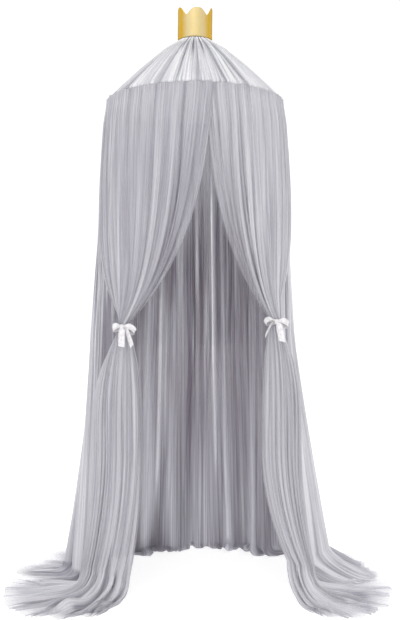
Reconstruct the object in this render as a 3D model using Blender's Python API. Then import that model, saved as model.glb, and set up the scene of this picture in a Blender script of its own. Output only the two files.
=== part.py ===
"""Hanging net canopy: three gathered net panels and a pleated roof on a hoop, with two ribbon ties
and a crown-shaped collar at the top. Metres, +Z up. The front doorway faces -Y.

The origin is the hanging point, the top of the roof's gathered neck inside the crown. Heights in the
sizes and tables below are measured from the floor, and level() turns them into z.
"""

import math
import random
from collections import namedtuple

import bmesh
import bpy
from mathutils import Matrix, Vector

# ---- Driving sizes, in metres ----
HANG_HEIGHT = 1.925  # the hanging point above the floor
HOOP_HEIGHT = 1.660
HOOP_RADIUS = 0.287  # centre line of the hoop's tube
HOOP_TUBE = 0.0045  # radius of the tube
HOOP_STEPS = 48
HOOP_SIDES = 6

NET = 0.0014  # thickness of the net, with its soft double layer
RIBBON = 0.0012
SEAT = 0.0003  # gap between a piece and what carries it
FLAT = 0.0010  # more gap where a piece with few flat faces goes round another

CROWN_FOOT = 1.880  # height of the crown's lower edge
CROWN_RADIUS = 0.0608  # outer face
CROWN_WALL = 0.0020
CROWN_DIP = 0.077  # from the lower edge to the dips between its points
CROWN_POINT = 0.028  # from the dips to the tips
CROWN_POINTS = 5
CROWN_TURN = math.radians(9)  # the front point stands a little to the right

ROOF_FOLDS = 26
ROOF_DEPTH = 0.0045  # half depth of the roof's folds at their fullest
NECK_RADIUS = 0.017
NECK_UNDER = 0.022  # the net is bunched solid from this far under the hanging point
ROOF_LIP = 0.016  # the roof's hem turns down this far outside the hoop

HEADER_LIFT = 0.003  # the panels' top edges stand this far above the hoop's centre line
HEADER_DEPTH = 0.0028  # half depth of the gathers at the hoop
DEEPEST = 1.60  # the fullest fold, as a share of the usual half depth
HEADER_HELD = 0.03  # stage down to which the gathers are held even, past the roof's lip
STEEPEST = 0.26  # the usual half depth is at most this share of a fold's width
UNEVEN_HEM = 0.05  # folds end this share of their run apart on the floor
LIP_RADIUS = HOOP_RADIUS + HOOP_TUBE + SEAT + FLAT + NET / 2  # middle of the roof's turned hem
HEADER_RADIUS = LIP_RADIUS + NET + 1.4 * SEAT + HEADER_DEPTH
LAP = 2 * HEADER_DEPTH + NET + SEAT  # a panel that lies over another is this much wider

TIE_BAND = 0.016  # height of the ribbon where it goes round the gathered net
BUNDLE_RADIUS = 0.0162  # middle of the net in the bundle that a ribbon holds
BUNDLE_DEPTH = 0.0009
BUNDLE_THICK = 0.0030  # the net is squeezed into one mass there
BUNDLE_SWEEP = math.radians(300)  # the bundle's section is an open ring
GRIP = 0.0100  # the bundle stays narrow this far above and below its tie's middle
RIBBON_WIDTH = 0.024
SWAG_HEIGHT = 0.500  # the tied drapes are widest at about this height

FOLD_SHAPE = ((0.00, -1.0), (0.29, 1.0), (0.50, 1.0), (0.79, -1.0))  # share of a fold, height


def level(height):
    """The z of a height above the floor."""
    return height - HANG_HEIGHT


# Sections of a tied drape, from its free front edge (share 0) to its free side edge (share 1).
# hoop_deg is the place on the hoop, from the front towards +X. x and y are in plan.
# lap is 1 where it lies over another panel at the hoop.
DrapeGuide = namedtuple(
    "DrapeGuide",
    "share hoop_deg lap belly straight droop swag_x swag_y foot_x foot_y end_x end_y knee",
)
LEFT_DRAPE = (
    DrapeGuide(0.00, 11.5, 1.0, 0.022, 0.35, 3.5, -0.172, -0.205, -0.212, -0.206, -0.292, -0.345, 0.050),
    DrapeGuide(0.08, 4.0, 1.0, 0.020, 0.34, 3.6, -0.184, -0.236, -0.232, -0.222, -0.330, -0.376, 0.056),
    DrapeGuide(0.16, -4.0, 0.4, 0.015, 0.31, 3.8, -0.200, -0.258, -0.252, -0.232, -0.370, -0.390, 0.062),
    DrapeGuide(0.32, -19.0, 0.0, 0.014, 0.25, 4.4, -0.238, -0.272, -0.288, -0.228, -0.448, -0.394, 0.072),
    DrapeGuide(0.52, -37.0, 0.0, 0.015, 0.16, 5.4, -0.280, -0.254, -0.328, -0.196, -0.540, -0.350, 0.075),
    DrapeGuide(0.74, -56.0, 1.0, 0.020, 0.07, 6.8, -0.314, -0.212, -0.360, -0.154, -0.610, -0.246, 0.070),
    DrapeGuide(0.88, -69.0, 1.0, 0.024, 0.03, 7.6, -0.330, -0.174, -0.376, -0.126, -0.638, -0.144, 0.058),
    DrapeGuide(1.00, -80.0, 1.0, 0.026, 0.00, 8.0, -0.338, -0.142, -0.386, -0.102, -0.640, -0.066, 0.045),
)
RIGHT_DRAPE = (
    DrapeGuide(0.00, 5.0, 0.1, -0.006, 0.34, 3.4, 0.216, -0.190, 0.300, -0.180, 0.360, -0.340, 0.076),
    DrapeGuide(0.08, 11.0, 0.1, -0.001, 0.34, 3.5, 0.224, -0.216, 0.312, -0.196, 0.390, -0.372, 0.088),
    DrapeGuide(0.16, 18.0, 0.0, 0.004, 0.31, 3.7, 0.236, -0.238, 0.325, -0.207, 0.422, -0.390, 0.098),
    DrapeGuide(0.32, 31.0, 0.0, 0.014, 0.24, 4.4, 0.268, -0.258, 0.350, -0.208, 0.484, -0.390, 0.105),
    DrapeGuide(0.52, 47.0, 0.0, 0.015, 0.15, 5.4, 0.304, -0.246, 0.374, -0.184, 0.560, -0.346, 0.085),
    DrapeGuide(0.74, 62.0, 1.0, 0.020, 0.07, 6.8, 0.334, -0.206, 0.390, -0.148, 0.628, -0.250, 0.070),
    DrapeGuide(0.88, 72.0, 1.0, 0.024, 0.03, 7.6, 0.348, -0.168, 0.400, -0.120, 0.660, -0.148, 0.058),
    DrapeGuide(1.00, 81.0, 1.0, 0.026, 0.00, 8.0, 0.354, -0.136, 0.408, -0.096, 0.666, -0.066, 0.045),
)

# Sections of the back panel, from its left front edge round the back to its right front edge.
# Angles are from the back towards +X; run is the length of net on the floor and run_deg its way.
BackGuide = namedtuple(
    "BackGuide", "share top_deg mid_deg mid_r foot_deg foot_r run run_deg knee"
)
BACK_PANEL = (
    BackGuide(0.00, -115.0, -113.0, 0.297, -116.0, 0.316, 0.040, -90.0, 0.022),
    BackGuide(0.05, -105.0, -104.0, 0.298, -107.0, 0.322, 0.060, -90.0, 0.026),
    BackGuide(0.11, -93.0, -92.0, 0.326, -95.0, 0.376, 0.220, -87.0, 0.038),
    BackGuide(0.18, -80.0, -80.0, 0.360, -83.0, 0.436, 0.220, -84.0, 0.050),
    BackGuide(0.29, -56.0, -56.0, 0.356, -58.0, 0.430, 0.270, -60.0, 0.060),
    BackGuide(0.38, -37.0, -37.0, 0.346, -37.0, 0.374, 0.310, -38.0, 0.075),
    BackGuide(0.46, -17.0, -17.0, 0.346, -17.0, 0.372, 0.315, -18.0, 0.070),
    BackGuide(0.54, 3.0, 3.0, 0.348, 3.0, 0.418, 0.280, 3.0, 0.045),
    BackGuide(0.62, 23.0, 22.0, 0.348, 22.0, 0.396, 0.300, 22.0, 0.060),
    BackGuide(0.71, 44.0, 42.0, 0.352, 41.0, 0.400, 0.305, 43.0, 0.075),
    BackGuide(0.82, 73.0, 71.0, 0.362, 74.0, 0.466, 0.228, 76.0, 0.065),
    BackGuide(0.89, 91.0, 90.0, 0.334, 94.0, 0.396, 0.225, 88.0, 0.044),
    BackGuide(0.95, 104.0, 103.0, 0.298, 106.0, 0.330, 0.066, 90.0, 0.028),
    BackGuide(1.00, 114.0, 112.0, 0.297, 115.0, 0.320, 0.040, 90.0, 0.022),
)
BACK_MID_HEIGHT = 0.870  # height of the mid sections above

# How deep a panel's folds are (half depth) and how thick its net at each stage of its way down.
Swell = namedtuple("Swell", "stage depth thick")
DRAPE_SWELL = (
    Swell(0.00, HEADER_DEPTH, NET),
    Swell(HEADER_HELD, HEADER_DEPTH, NET),
    Swell(0.15, 0.0056, NET),
    Swell(0.45, 0.0105, NET),
    Swell(0.80, 0.0100, NET),
    Swell(0.96, 0.0020, 0.0016),
    Swell(1.00, BUNDLE_DEPTH, BUNDLE_THICK),
    Swell(2.00, BUNDLE_DEPTH, BUNDLE_THICK),
    Swell(2.09, 0.0020, 0.0016),
    Swell(2.50, 0.0100, NET),
    Swell(3.00, 0.0120, NET),
    Swell(4.00, 0.0120, NET),
    Swell(5.00, 0.0095, NET),
    Swell(6.00, 0.0040, NET),
)
BACK_SWELL = (
    Swell(0.00, HEADER_DEPTH, NET),
    Swell(HEADER_HELD, HEADER_DEPTH, NET),
    Swell(0.10, 0.0050, NET),
    Swell(1.00, 0.0110, NET),
    Swell(2.00, 0.0130, NET),
    Swell(3.00, 0.0095, NET),
    Swell(4.00, 0.0040, NET),
)

# The stages of a drape: fan 0 to 1, the ribbon's grip 1 to 2, opening out 2 to 3, fall 3 to 4,
# knee 4 to 5 and floor 5 to 6. Those of the back panel: fall 0 to 1 and 1 to 2, knee, floor.
DRAPE_STAGES = (
    0.0, HEADER_HELD, 0.20, 0.42, 0.62, 0.78, 0.88, 0.94, 0.975,
    1.0, 2.0, 2.03, 2.09, 2.20, 2.40, 2.68, 3.0, 3.55,
    4.0, 4.5, 5.0, 5.5, 6.0,
)  # fmt: skip
BACK_STAGES = (0.0, HEADER_HELD, 0.20, 0.60, 1.0, 1.50, 2.0, 2.4, 3.0, 3.5, 4.0)

DrapeForm = namedtuple("DrapeForm", "name guides tie_x tie_y tie_height facing_deg folds seed")
DRAPES = (
    DrapeForm("drape_left", LEFT_DRAPE, -0.228, -0.262, 0.888, -38.0, 11, 11),
    DrapeForm("drape_right", RIGHT_DRAPE, 0.254, -0.258, 0.904, 42.0, 11, 7),
)
BACK_FOLDS = 24
BACK_SEED = 5
BACK_CALM = 0.13  # share of the width at each free edge where the folds are shallow
DRAPE_CALM = 0.05


# ---- Laws that the shapes follow ----
def read_guides(guides, column, share):
    """A named column of a table at a share of the width, on a smooth curve through its rows."""
    spot = 0
    while spot < len(guides) - 2 and share > guides[spot + 1].share:
        spot += 1
    low, high = guides[spot], guides[spot + 1]
    before = guides[max(spot - 1, 0)]
    after = guides[min(spot + 2, len(guides) - 1)]
    width = high.share - low.share
    part = (share - low.share) / width
    start, end = getattr(low, column), getattr(high, column)
    slope_in = (end - getattr(before, column)) / (high.share - before.share) * width
    slope_out = (getattr(after, column) - start) / (after.share - low.share) * width
    square, cube = part**2, part**3
    return (
        (2 * cube - 3 * square + 1) * start
        + (cube - 2 * square + part) * slope_in
        + (3 * square - 2 * cube) * end
        + (cube - square) * slope_out
    )


def read_swell(swells, column, stage):
    """A named column of a swell table at a stage, straight from row to row."""
    low, high = swells[0], swells[1]
    for low, high in zip(swells, swells[1:]):
        if stage <= high.stage:
            break
    part = (stage - low.stage) / (high.stage - low.stage)
    start, end = getattr(low, column), getattr(high, column)
    return start + (end - start) * part


def soft_step(part):
    """0 to 1 with no slope at either end."""
    part = min(max(part, 0.0), 1.0)
    return part * part * (3 - 2 * part)


def around(radius, degrees, height):
    """A point at an angle from the front (-Y) towards +X."""
    turn = math.radians(degrees)
    return Vector((radius * math.sin(turn), -radius * math.cos(turn), level(height)))


Fold = namedtuple("Fold", "share side deep phase lean reach")


def fold_columns(count, seed, uneven=0.34):
    """Four columns for each fold across a panel, with uneven widths and depths."""
    chance = random.Random(seed)
    widths = [chance.uniform(1 - uneven, 1 + uneven) for _ in range(count)]
    whole = sum(widths)
    columns, start = [], 0.0
    for width in widths:
        deep = chance.uniform(0.62, 1.30)
        phase = chance.uniform(0, math.tau)
        lean = chance.uniform(-0.05, 0.05)
        reach = chance.uniform(-1, 1)
        for part, height in FOLD_SHAPE:
            nudge = chance.uniform(-0.03, 0.03) if part else 0.0
            place = (start + width * (part + nudge)) / whole
            columns.append(Fold(place, height, deep, phase, lean * width / whole, reach))
        start += width
    columns[0] = columns[0]._replace(lean=0.0)
    columns.append(columns[-1]._replace(share=1.0, side=-1.0, lean=0.0))
    return columns


def fold_size(fold, stage, depth, calm):
    """Half the depth of a fold. The gathers are even at the hoop. Further down each fold swells and
    fades on its own, and is shallower within the calm share of the width at each free edge."""
    breathing = 1 + 0.22 * math.sin(1.9 * stage + fold.phase)
    edge = min(fold.share, 1 - fold.share)
    free = fold.deep * breathing * (0.42 + 0.58 * soft_step(edge / calm))
    return depth * (1 + (free - 1) * soft_step((stage - HEADER_HELD) / 0.15))


def fold_share(fold, stage):
    """Where across the panel a fold lies: it wanders a little on its way down."""
    inside = min(fold.share, 1 - fold.share)
    sway = fold.lean * math.sin(1.1 * stage + fold.phase)
    return fold.share + sway * min(1.0, inside / 0.03)


# ---- Shapes of the panels ----
def drape_middle(form, fold, stage):
    """A point of a tied drape's middle surface."""
    share = fold_share(fold, stage)

    def guide(column):
        return read_guides(form.guides, column, share)

    tie = Vector((form.tie_x, form.tie_y, 0))
    side = 1 if form.tie_x > 0 else -1
    turn = math.radians(form.facing_deg) + side * BUNDLE_SWEEP * (share - 0.5)
    gathered = tie + BUNDLE_RADIUS * Vector((math.sin(turn), -math.cos(turn), 0))
    top, swag = HOOP_HEIGHT + HEADER_LIFT, SWAG_HEIGHT
    grip_top, grip_foot = form.tie_height + GRIP, form.tie_height - GRIP
    if stage <= 1:
        fallen = max(stage - HEADER_HELD, 0) / (1 - HEADER_HELD)
        drawn = guide("straight") * fallen + (1 - guide("straight")) * fallen ** guide("droop")
        swelling = guide("belly") * math.sin(math.pi * stage**1.4)
        hang_radius = HEADER_RADIUS + LAP * guide("lap") + swelling
        hung = around(hang_radius, guide("hoop_deg"), 0)
        place = hung.lerp(gathered, drawn)
        height = top + (grip_top - top) * stage
    elif stage <= 2:
        place = gathered
        height = grip_top + (grip_foot - grip_top) * (stage - 1)
    else:
        swagged = Vector((guide("swag_x"), guide("swag_y"), 0))
        foot = Vector((guide("foot_x"), guide("foot_y"), 0))
        end = Vector((guide("end_x"), guide("end_y"), 0))
        knee = guide("knee")
        outward = (end - foot).normalized()
        if stage <= 3:
            place = gathered.lerp(swagged, 1 - (3 - stage) ** 3)
            height = grip_foot + (swag - grip_foot) * (stage - 2)
        elif stage <= 4:
            place = swagged.lerp(foot, soft_step(stage - 3))
            height = swag + (knee - swag) * (stage - 3)
        else:
            depth = read_swell(DRAPE_SWELL, "depth", stage)
            rest = NET / 2 + fold_size(fold, stage, depth, DRAPE_CALM)
            if stage <= 5:
                bend = (stage - 4) * math.pi / 2
                place = foot + outward * knee * (1 - math.cos(bend))
                height = knee + (rest - knee) * math.sin(bend)
            else:
                start = foot + outward * knee
                place = start.lerp(end, (stage - 5) * (1 + UNEVEN_HEM * fold.reach))
                height = rest
    return Vector((place.x, place.y, level(height)))


def back_middle(fold, stage):
    """A point of the back panel's middle surface."""
    share = fold_share(fold, stage)

    def guide(column):
        return read_guides(BACK_PANEL, column, share)

    def plan(radius, degrees):
        return around(radius, 180 - degrees, 0)

    top = HOOP_HEIGHT + HEADER_LIFT
    mid = plan(guide("mid_r"), guide("mid_deg"))
    foot = plan(guide("foot_r"), guide("foot_deg"))
    outward = plan(1.0, guide("run_deg"))
    outward.z = 0
    knee = guide("knee")
    if stage <= 1:
        place = plan(HEADER_RADIUS, guide("top_deg")).lerp(mid, stage**0.85)
        height = top + (BACK_MID_HEIGHT - top) * stage
    elif stage <= 2:
        place = mid.lerp(foot, (stage - 1) ** 1.05)
        height = BACK_MID_HEIGHT + (knee - BACK_MID_HEIGHT) * (stage - 1)
    else:
        depth = read_swell(BACK_SWELL, "depth", stage)
        rest = NET / 2 + fold_size(fold, stage, depth, BACK_CALM)
        if stage <= 3:
            bend = (stage - 2) * math.pi / 2
            place = foot + outward * knee * (1 - math.cos(bend))
            height = knee + (rest - knee) * math.sin(bend)
        else:
            run = guide("run") * (1 + UNEVEN_HEM * fold.reach)
            place = foot + outward * (knee + (run - knee) * (stage - 3))
            height = rest
    return Vector((place.x, place.y, level(height)))


# ---- Building solids ----
def material(name, colour, roughness, metallic=0.0):
    made = bpy.data.materials.new(name)
    made.use_nodes = True
    shader = made.node_tree.nodes["Principled BSDF"]
    shader.inputs["Base Color"].default_value = (*colour, 1)
    shader.inputs["Roughness"].default_value = roughness
    shader.inputs["Metallic"].default_value = metallic
    return made


def face_outwards(bm):
    bmesh.ops.recalc_face_normals(bm, faces=bm.faces[:])
    if bm.calc_volume(signed=True) < 0:
        bmesh.ops.reverse_faces(bm, faces=bm.faces[:])


def add_object(name, bm, finish, smooth_deg=50):
    face_outwards(bm)
    mesh = bpy.data.meshes.new(name)
    bm.to_mesh(mesh)
    bm.free()
    mesh.materials.append(finish)
    mesh.shade_smooth()
    mesh.set_sharp_from_angle(angle=math.radians(smooth_deg))
    made = bpy.data.objects.new(name, mesh)
    bpy.context.scene.collection.objects.link(made)
    return made


def surface_normals(grid, outward, closed):
    """A normal for each point of a grid of rows and columns of points."""
    rows, columns = len(grid), len(grid[0])
    normals = []
    for i in range(rows):
        above, below = grid[max(i - 1, 0)], grid[min(i + 1, rows - 1)]
        line = []
        for j in range(columns):
            left = (j - 1) % columns if closed else max(j - 1, 0)
            right = (j + 1) % columns if closed else min(j + 1, columns - 1)
            here = grid[i][j]
            across = (grid[i][right] - here).normalized() + (here - grid[i][left]).normalized()
            down = below[j] - above[j]
            line.append(across.cross(down).normalized() * outward)
        normals.append(line)
    return normals


def sheet_mesh(inner, outer, closed=False, pole=False):
    """A closed solid between two grids of points: a sheet with its edges."""
    rows, columns = len(inner), len(inner[0])
    across = columns if closed else columns - 1
    bm = bmesh.new()
    bmesh.ops.create_grid(bm, x_segments=across, y_segments=rows - 1, size=0.5)
    bmesh.ops.triangulate(bm, faces=bm.faces[:], quad_method="FIXED")
    column_of = bm.verts.layers.int.new("column")
    row_of = bm.verts.layers.int.new("row")
    for vert in bm.verts:
        vert[column_of] = round((vert.co.x + 0.5) * across) % (across if closed else columns)
        vert[row_of] = round((0.5 - vert.co.y) * (rows - 1))
    if closed:
        for vert in bm.verts:
            turn = math.tau * vert[column_of] / across
            width = 0.0 if pole and vert[row_of] == 0 else 1.0
            vert.co = (width * math.cos(turn), width * math.sin(turn), -vert[row_of])
        bmesh.ops.remove_doubles(bm, verts=bm.verts[:], dist=1e-4)
    lifted = bmesh.ops.extrude_face_region(bm, geom=bm.faces[:], use_keep_orig=True)
    raised = {item for item in lifted["geom"] if isinstance(item, bmesh.types.BMVert)}
    for vert in bm.verts:
        grid = outer if vert in raised else inner
        vert.co = grid[vert[row_of]][vert[column_of]]
    return bm


def net_panel(name, middle, folds, stages, swells, outward, calm, finish):
    """A gathered panel: the middle surface, its folds, and the net's thickness."""
    grid = [[middle(fold, stage) for fold in folds] for stage in stages]
    flat_normals = surface_normals(grid, outward, closed=False)
    folded = []
    for line, normals, stage in zip(grid, flat_normals, stages):
        points = []
        for j, fold in enumerate(folds):
            first, last = max(j - 2, 0), min(j + 2, len(folds) - 1)
            width = (line[last] - line[first]).length * 4 / (last - first)
            depth = min(read_swell(swells, "depth", stage), STEEPEST * width)
            lift = fold.side * fold_size(fold, stage, depth, calm)
            points.append(line[j] + normals[j] * lift)
        folded.append(points)
    fold_normals = surface_normals(folded, outward, closed=False)
    inner, outer = [], []
    for points, flat_line, fold_line, stage in zip(folded, flat_normals, fold_normals, stages):
        thick = read_swell(swells, "thick", stage)
        inner_row, outer_row = [], []
        for j, point in enumerate(points):
            gaps = [(point - points[k]) for k in (j - 1, j + 1) if 0 <= k < len(points)]
            # where the net is bunched tight its thickness runs straight out of the panel
            loose = soft_step((min(gap.length for gap in gaps) - 0.0035) / 0.004)
            bend = (gaps[0].normalized() - gaps[-1].normalized()).length / 2 if len(gaps) > 1 else 1.0
            corner = 1 + (1 / max(bend, 0.72) - 1) * loose
            way = flat_line[j].lerp(fold_line[j], loose).normalized() * corner * thick / 2
            low, high = point - way, point + way
            low.z, high.z = max(low.z, level(0)), max(high.z, level(thick))
            inner_row.append(low)
            outer_row.append(high)
        inner.append(inner_row)
        outer.append(outer_row)
    return add_object(name, sheet_mesh(inner, outer), finish)


def roof_and_neck(finish):
    """The pleated cone of net, with its hem turned down outside the hoop and its neck bunched."""
    # radius and height of the middle of the net, half depth of the folds, half thickness
    Ring = namedtuple("Ring", "radius height depth half")
    rings = (
        Ring(0.0, HANG_HEIGHT - NECK_UNDER / 2, 0.0, NECK_UNDER / 2),
        Ring(NECK_RADIUS * 0.55, HANG_HEIGHT - NECK_UNDER / 2, 0.0, NECK_UNDER / 2),
        Ring(NECK_RADIUS, HANG_HEIGHT - 0.016, 0.0012, NET / 2),
        Ring(CROWN_RADIUS - 0.0075, CROWN_FOOT + 0.0007, 0.0012, NET / 2),
        Ring(0.110, 1.8400, 0.0034, NET / 2),
        Ring(0.192, 1.7680, ROOF_DEPTH, NET / 2),
        Ring(0.262, 1.7010, 0.0038, NET / 2),
        Ring(HOOP_RADIUS - 0.004, HOOP_HEIGHT + 0.0130, 0.0010, NET / 2),
        Ring(LIP_RADIUS, HOOP_HEIGHT + 0.0020, 0.0, NET / 2),
        Ring(LIP_RADIUS, HOOP_HEIGHT - ROOF_LIP, 0.0, NET / 2),
    )
    chance = random.Random(17)
    folds = []
    start = 0.0
    for _ in range(ROOF_FOLDS):
        width = chance.uniform(0.75, 1.25)
        deep = chance.uniform(0.5, 1.25)
        folds += [(start, -deep), (start + width * chance.uniform(0.43, 0.57), deep)]
        start += width
    turns = [math.tau * place / start for place, _ in folds]
    deeps = [deep for _, deep in folds]
    grid = [
        [Vector((r.radius * math.cos(a), r.radius * math.sin(a), level(r.height))) for a in turns]
        for r in rings
    ]
    normals = surface_normals(grid, -1, closed=True)
    up = Vector((0, 0, 1))
    for i in (0, 1):
        normals[i] = [up] * len(turns)

    def layer(side):
        return [
            [p + n * (deep * ring.depth + side * ring.half) for p, n, deep in zip(line, line_n, deeps)]
            for line, line_n, ring in zip(grid, normals, rings)
        ]

    return add_object("roof", sheet_mesh(layer(-1), layer(1), closed=True, pole=True), finish)


def hoop(finish):
    bm = bmesh.new()
    section = bmesh.ops.create_circle(
        bm, segments=HOOP_SIDES, radius=HOOP_TUBE, matrix=Matrix.Rotation(math.pi / 2, 4, "X")
    )["verts"]
    bmesh.ops.translate(bm, verts=section, vec=(HOOP_RADIUS, 0, level(HOOP_HEIGHT)))
    bmesh.ops.spin(
        bm, geom=bm.edges[:], cent=(0, 0, 0), axis=(0, 0, 1), angle=math.tau,
        steps=HOOP_STEPS, use_merge=True,
    )  # fmt: skip
    bmesh.ops.remove_doubles(bm, verts=bm.verts[:], dist=1e-5)
    return add_object("hoop", bm, finish)


def crown(finish):
    """A band of stiff cloth with five soft points, open at both ends."""
    steps_a_point = 10
    count = CROWN_POINTS * steps_a_point
    rows = []
    for part in (0.0, 0.5, 1.0):
        line = []
        for j in range(count):
            swing = math.cos(math.tau * j / steps_a_point)
            tip = (0.5 + 0.5 * swing) ** 1.25
            height = CROWN_FOOT + part * (CROWN_DIP + CROWN_POINT * tip)
            turn = math.degrees(math.tau * j / count + CROWN_TURN)
            line.append((turn, height))
        rows.append(line)

    def layer(radius):
        return [[around(radius, turn, height) for turn, height in line] for line in rows]

    inner, outer = layer(CROWN_RADIUS - CROWN_WALL), layer(CROWN_RADIUS)
    return add_object("crown", sheet_mesh(inner, outer, closed=True), finish)


# ---- Ribbon ties ----
# Each strip's middle line, as (sideways, forwards, up) from the knot, in metres.
LOOP_LINE = (
    (0.003, 0.0030, 0.000), (0.011, 0.0070, 0.003), (0.022, 0.0120, 0.003), (0.032, 0.0115, 0.000),
    (0.038, 0.0050, -0.004), (0.033, -0.0010, -0.005), (0.022, -0.0022, -0.003), (0.011, -0.0024, -0.001),
    (0.003, -0.0030, 0.000),
)  # fmt: skip
TAIL_LINE = (
    (0.002, 0.0015, 0.002), (0.005, 0.0085, -0.010), (0.007, 0.0125, -0.025), (0.009, 0.0170, -0.043),
    (0.011, 0.0215, -0.062),
)  # fmt: skip
KNOT = (0.015, 0.012, 0.017)
KNOT_STAND = 0.0040  # from the band's face to the knot's middle


def strip(line, width_way, width, thickness):
    """A bmesh of a ribbon strip along a line, with its width along one direction."""
    half = width_way.normalized() * width / 2
    grid = [[p - half for p in line], [p + half for p in line]]
    normals = surface_normals(grid, 1, closed=False)

    def layer(side):
        return [
            [p + n * side * thickness / 2 for p, n in zip(points, ways)]
            for points, ways in zip(grid, normals)
        ]

    return sheet_mesh(layer(-1), layer(1))


def ribbon_tie(name, form, spread, finish):
    """One ribbon: a band round the bundle, a knot, two loops and two free ends, fused."""
    facing = math.radians(form.facing_deg * 0.20)  # the bow looks more to the front than the net
    ahead = Vector((math.sin(facing), -math.cos(facing), 0))
    aside = Vector((math.cos(facing), math.sin(facing), 0))
    up = Vector((0, 0, 1))
    centre = Vector((form.tie_x, form.tie_y, level(form.tie_height)))
    band_in = BUNDLE_RADIUS + BUNDLE_DEPTH * DEEPEST + BUNDLE_THICK / 2 + SEAT
    band_out = band_in + RIBBON
    knot = centre + ahead * (band_out + KNOT_STAND)

    turns = [math.tau * j / 24 for j in range(24)]

    def ring(radius):
        return [
            [centre + Vector((radius * math.cos(a), radius * math.sin(a), z)) for a in turns]
            for z in (TIE_BAND / 2, -TIE_BAND / 2)
        ]

    pieces = [sheet_mesh(ring(band_in), ring(band_out), closed=True)]

    lump = bmesh.new()
    bmesh.ops.create_cube(lump, size=1.0)
    bmesh.ops.bevel(
        lump, geom=lump.edges[:], offset=0.24, segments=2, profile=0.5, affect="EDGES"
    )
    frame = Matrix((aside, ahead, up)).transposed().to_4x4()
    size = Matrix.Diagonal((*KNOT, 1))
    bmesh.ops.transform(lump, matrix=Matrix.Translation(knot) @ frame @ size, verts=lump.verts[:])
    pieces.append(lump)

    def line_of(points, way, stretch, droop, lift=0.0):
        return [
            knot + aside * way * x * stretch + ahead * (y + lift) + up * (z - droop * x)
            for x, y, z in points
        ]

    for way, stretch, droop in ((-1, spread.left_loop, 0.10), (1, spread.right_loop, 0.22)):
        tilt = up + aside * way * 0.25
        pieces.append(strip(line_of(LOOP_LINE, way, stretch, droop), tilt, RIBBON_WIDTH * 0.80, RIBBON))
    for way, stretch, lift in ((-1, spread.left_tail, 0.0), (1, spread.right_tail, 0.0022)):
        line = line_of(TAIL_LINE, way, stretch, 0.0, lift)
        across = aside + ahead * way * (0.10 + 0.25 * max(stretch - 1, 0))
        pieces.append(strip(line, across, RIBBON_WIDTH * 0.86, RIBBON))

    whole = None
    for number, piece in enumerate(pieces):
        part = add_object(f"{name}_{number}", piece, finish)
        if whole is None:
            whole = part
            continue
        joint = whole.modifiers.new(f"join_{number}", "BOOLEAN")
        joint.operation = "UNION"
        joint.solver = "EXACT"
        joint.object = part
        part.hide_render = True
        part.display_type = "WIRE"
    whole.name = name
    return whole


TieForm = namedtuple("TieForm", "left_loop right_loop left_tail right_tail")
TIES = (
    ("tie_left", DRAPES[0], TieForm(0.98, 0.92, 0.55, 2.10)),
    ("tie_right", DRAPES[1], TieForm(1.04, 0.96, 2.70, 1.20)),
)


def build():
    for old in list(bpy.data.objects):
        bpy.data.objects.remove(old, do_unlink=True)
    net = material("grey_net", (0.60, 0.60, 0.63), 0.85)
    roof_net = material("pale_roof_net", (0.78, 0.78, 0.81), 0.85)
    satin = material("white_satin", (0.90, 0.89, 0.89), 0.35)
    gold = material("gold_cloth", (0.86, 0.66, 0.24), 0.45, 0.35)
    plastic = material("white_plastic", (0.86, 0.86, 0.86), 0.50)
    hoop(plastic)
    roof_and_neck(roof_net)
    crown(gold)
    back_folds = fold_columns(BACK_FOLDS, BACK_SEED)
    net_panel("back_panel", back_middle, back_folds, BACK_STAGES, BACK_SWELL, 1, BACK_CALM, net)
    for form in DRAPES:
        folds = fold_columns(form.folds, form.seed)

        def middle(fold, stage, form=form):
            return drape_middle(form, fold, stage)

        outward = 1 if form.tie_x < 0 else -1
        net_panel(form.name, middle, folds, DRAPE_STAGES, DRAPE_SWELL, outward, DRAPE_CALM, net)
    for name, form, spread in TIES:
        ribbon_tie(name, form, spread, satin)


build()
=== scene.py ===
# A round net canopy under a gold collar: a sheer pleated roof, a back panel and two drapes tied
# back with satin ribbon. Metres, +Z up. The hanging point is the origin, the opening faces -Y.
import math
import random

import bmesh
import bpy
import numpy as np
from mathutils import Matrix, Vector


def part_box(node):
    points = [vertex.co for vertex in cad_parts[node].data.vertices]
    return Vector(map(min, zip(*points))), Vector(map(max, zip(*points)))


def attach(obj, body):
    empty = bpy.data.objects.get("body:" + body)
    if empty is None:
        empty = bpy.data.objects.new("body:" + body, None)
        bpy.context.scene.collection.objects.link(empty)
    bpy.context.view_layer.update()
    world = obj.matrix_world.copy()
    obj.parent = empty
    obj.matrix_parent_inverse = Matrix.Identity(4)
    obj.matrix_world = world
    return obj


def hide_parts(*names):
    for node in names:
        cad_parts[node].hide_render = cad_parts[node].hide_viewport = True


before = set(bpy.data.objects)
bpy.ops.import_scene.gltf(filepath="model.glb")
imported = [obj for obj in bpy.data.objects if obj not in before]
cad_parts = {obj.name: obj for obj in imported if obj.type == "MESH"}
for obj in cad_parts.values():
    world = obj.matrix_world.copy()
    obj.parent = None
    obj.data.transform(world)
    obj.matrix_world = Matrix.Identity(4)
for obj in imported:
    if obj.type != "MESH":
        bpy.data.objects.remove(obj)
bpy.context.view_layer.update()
print("frame loaded:", ", ".join(sorted(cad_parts)))

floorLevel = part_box("back_panel")[0].z
hoopLow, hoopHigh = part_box("hoop")
hoopTube = (hoopHigh.z - hoopLow.z) / 2
hoopRadius = (hoopHigh.x - hoopLow.x) / 2 - hoopTube
hoopLevel = (hoopHigh.z + hoopLow.z) / 2


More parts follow.
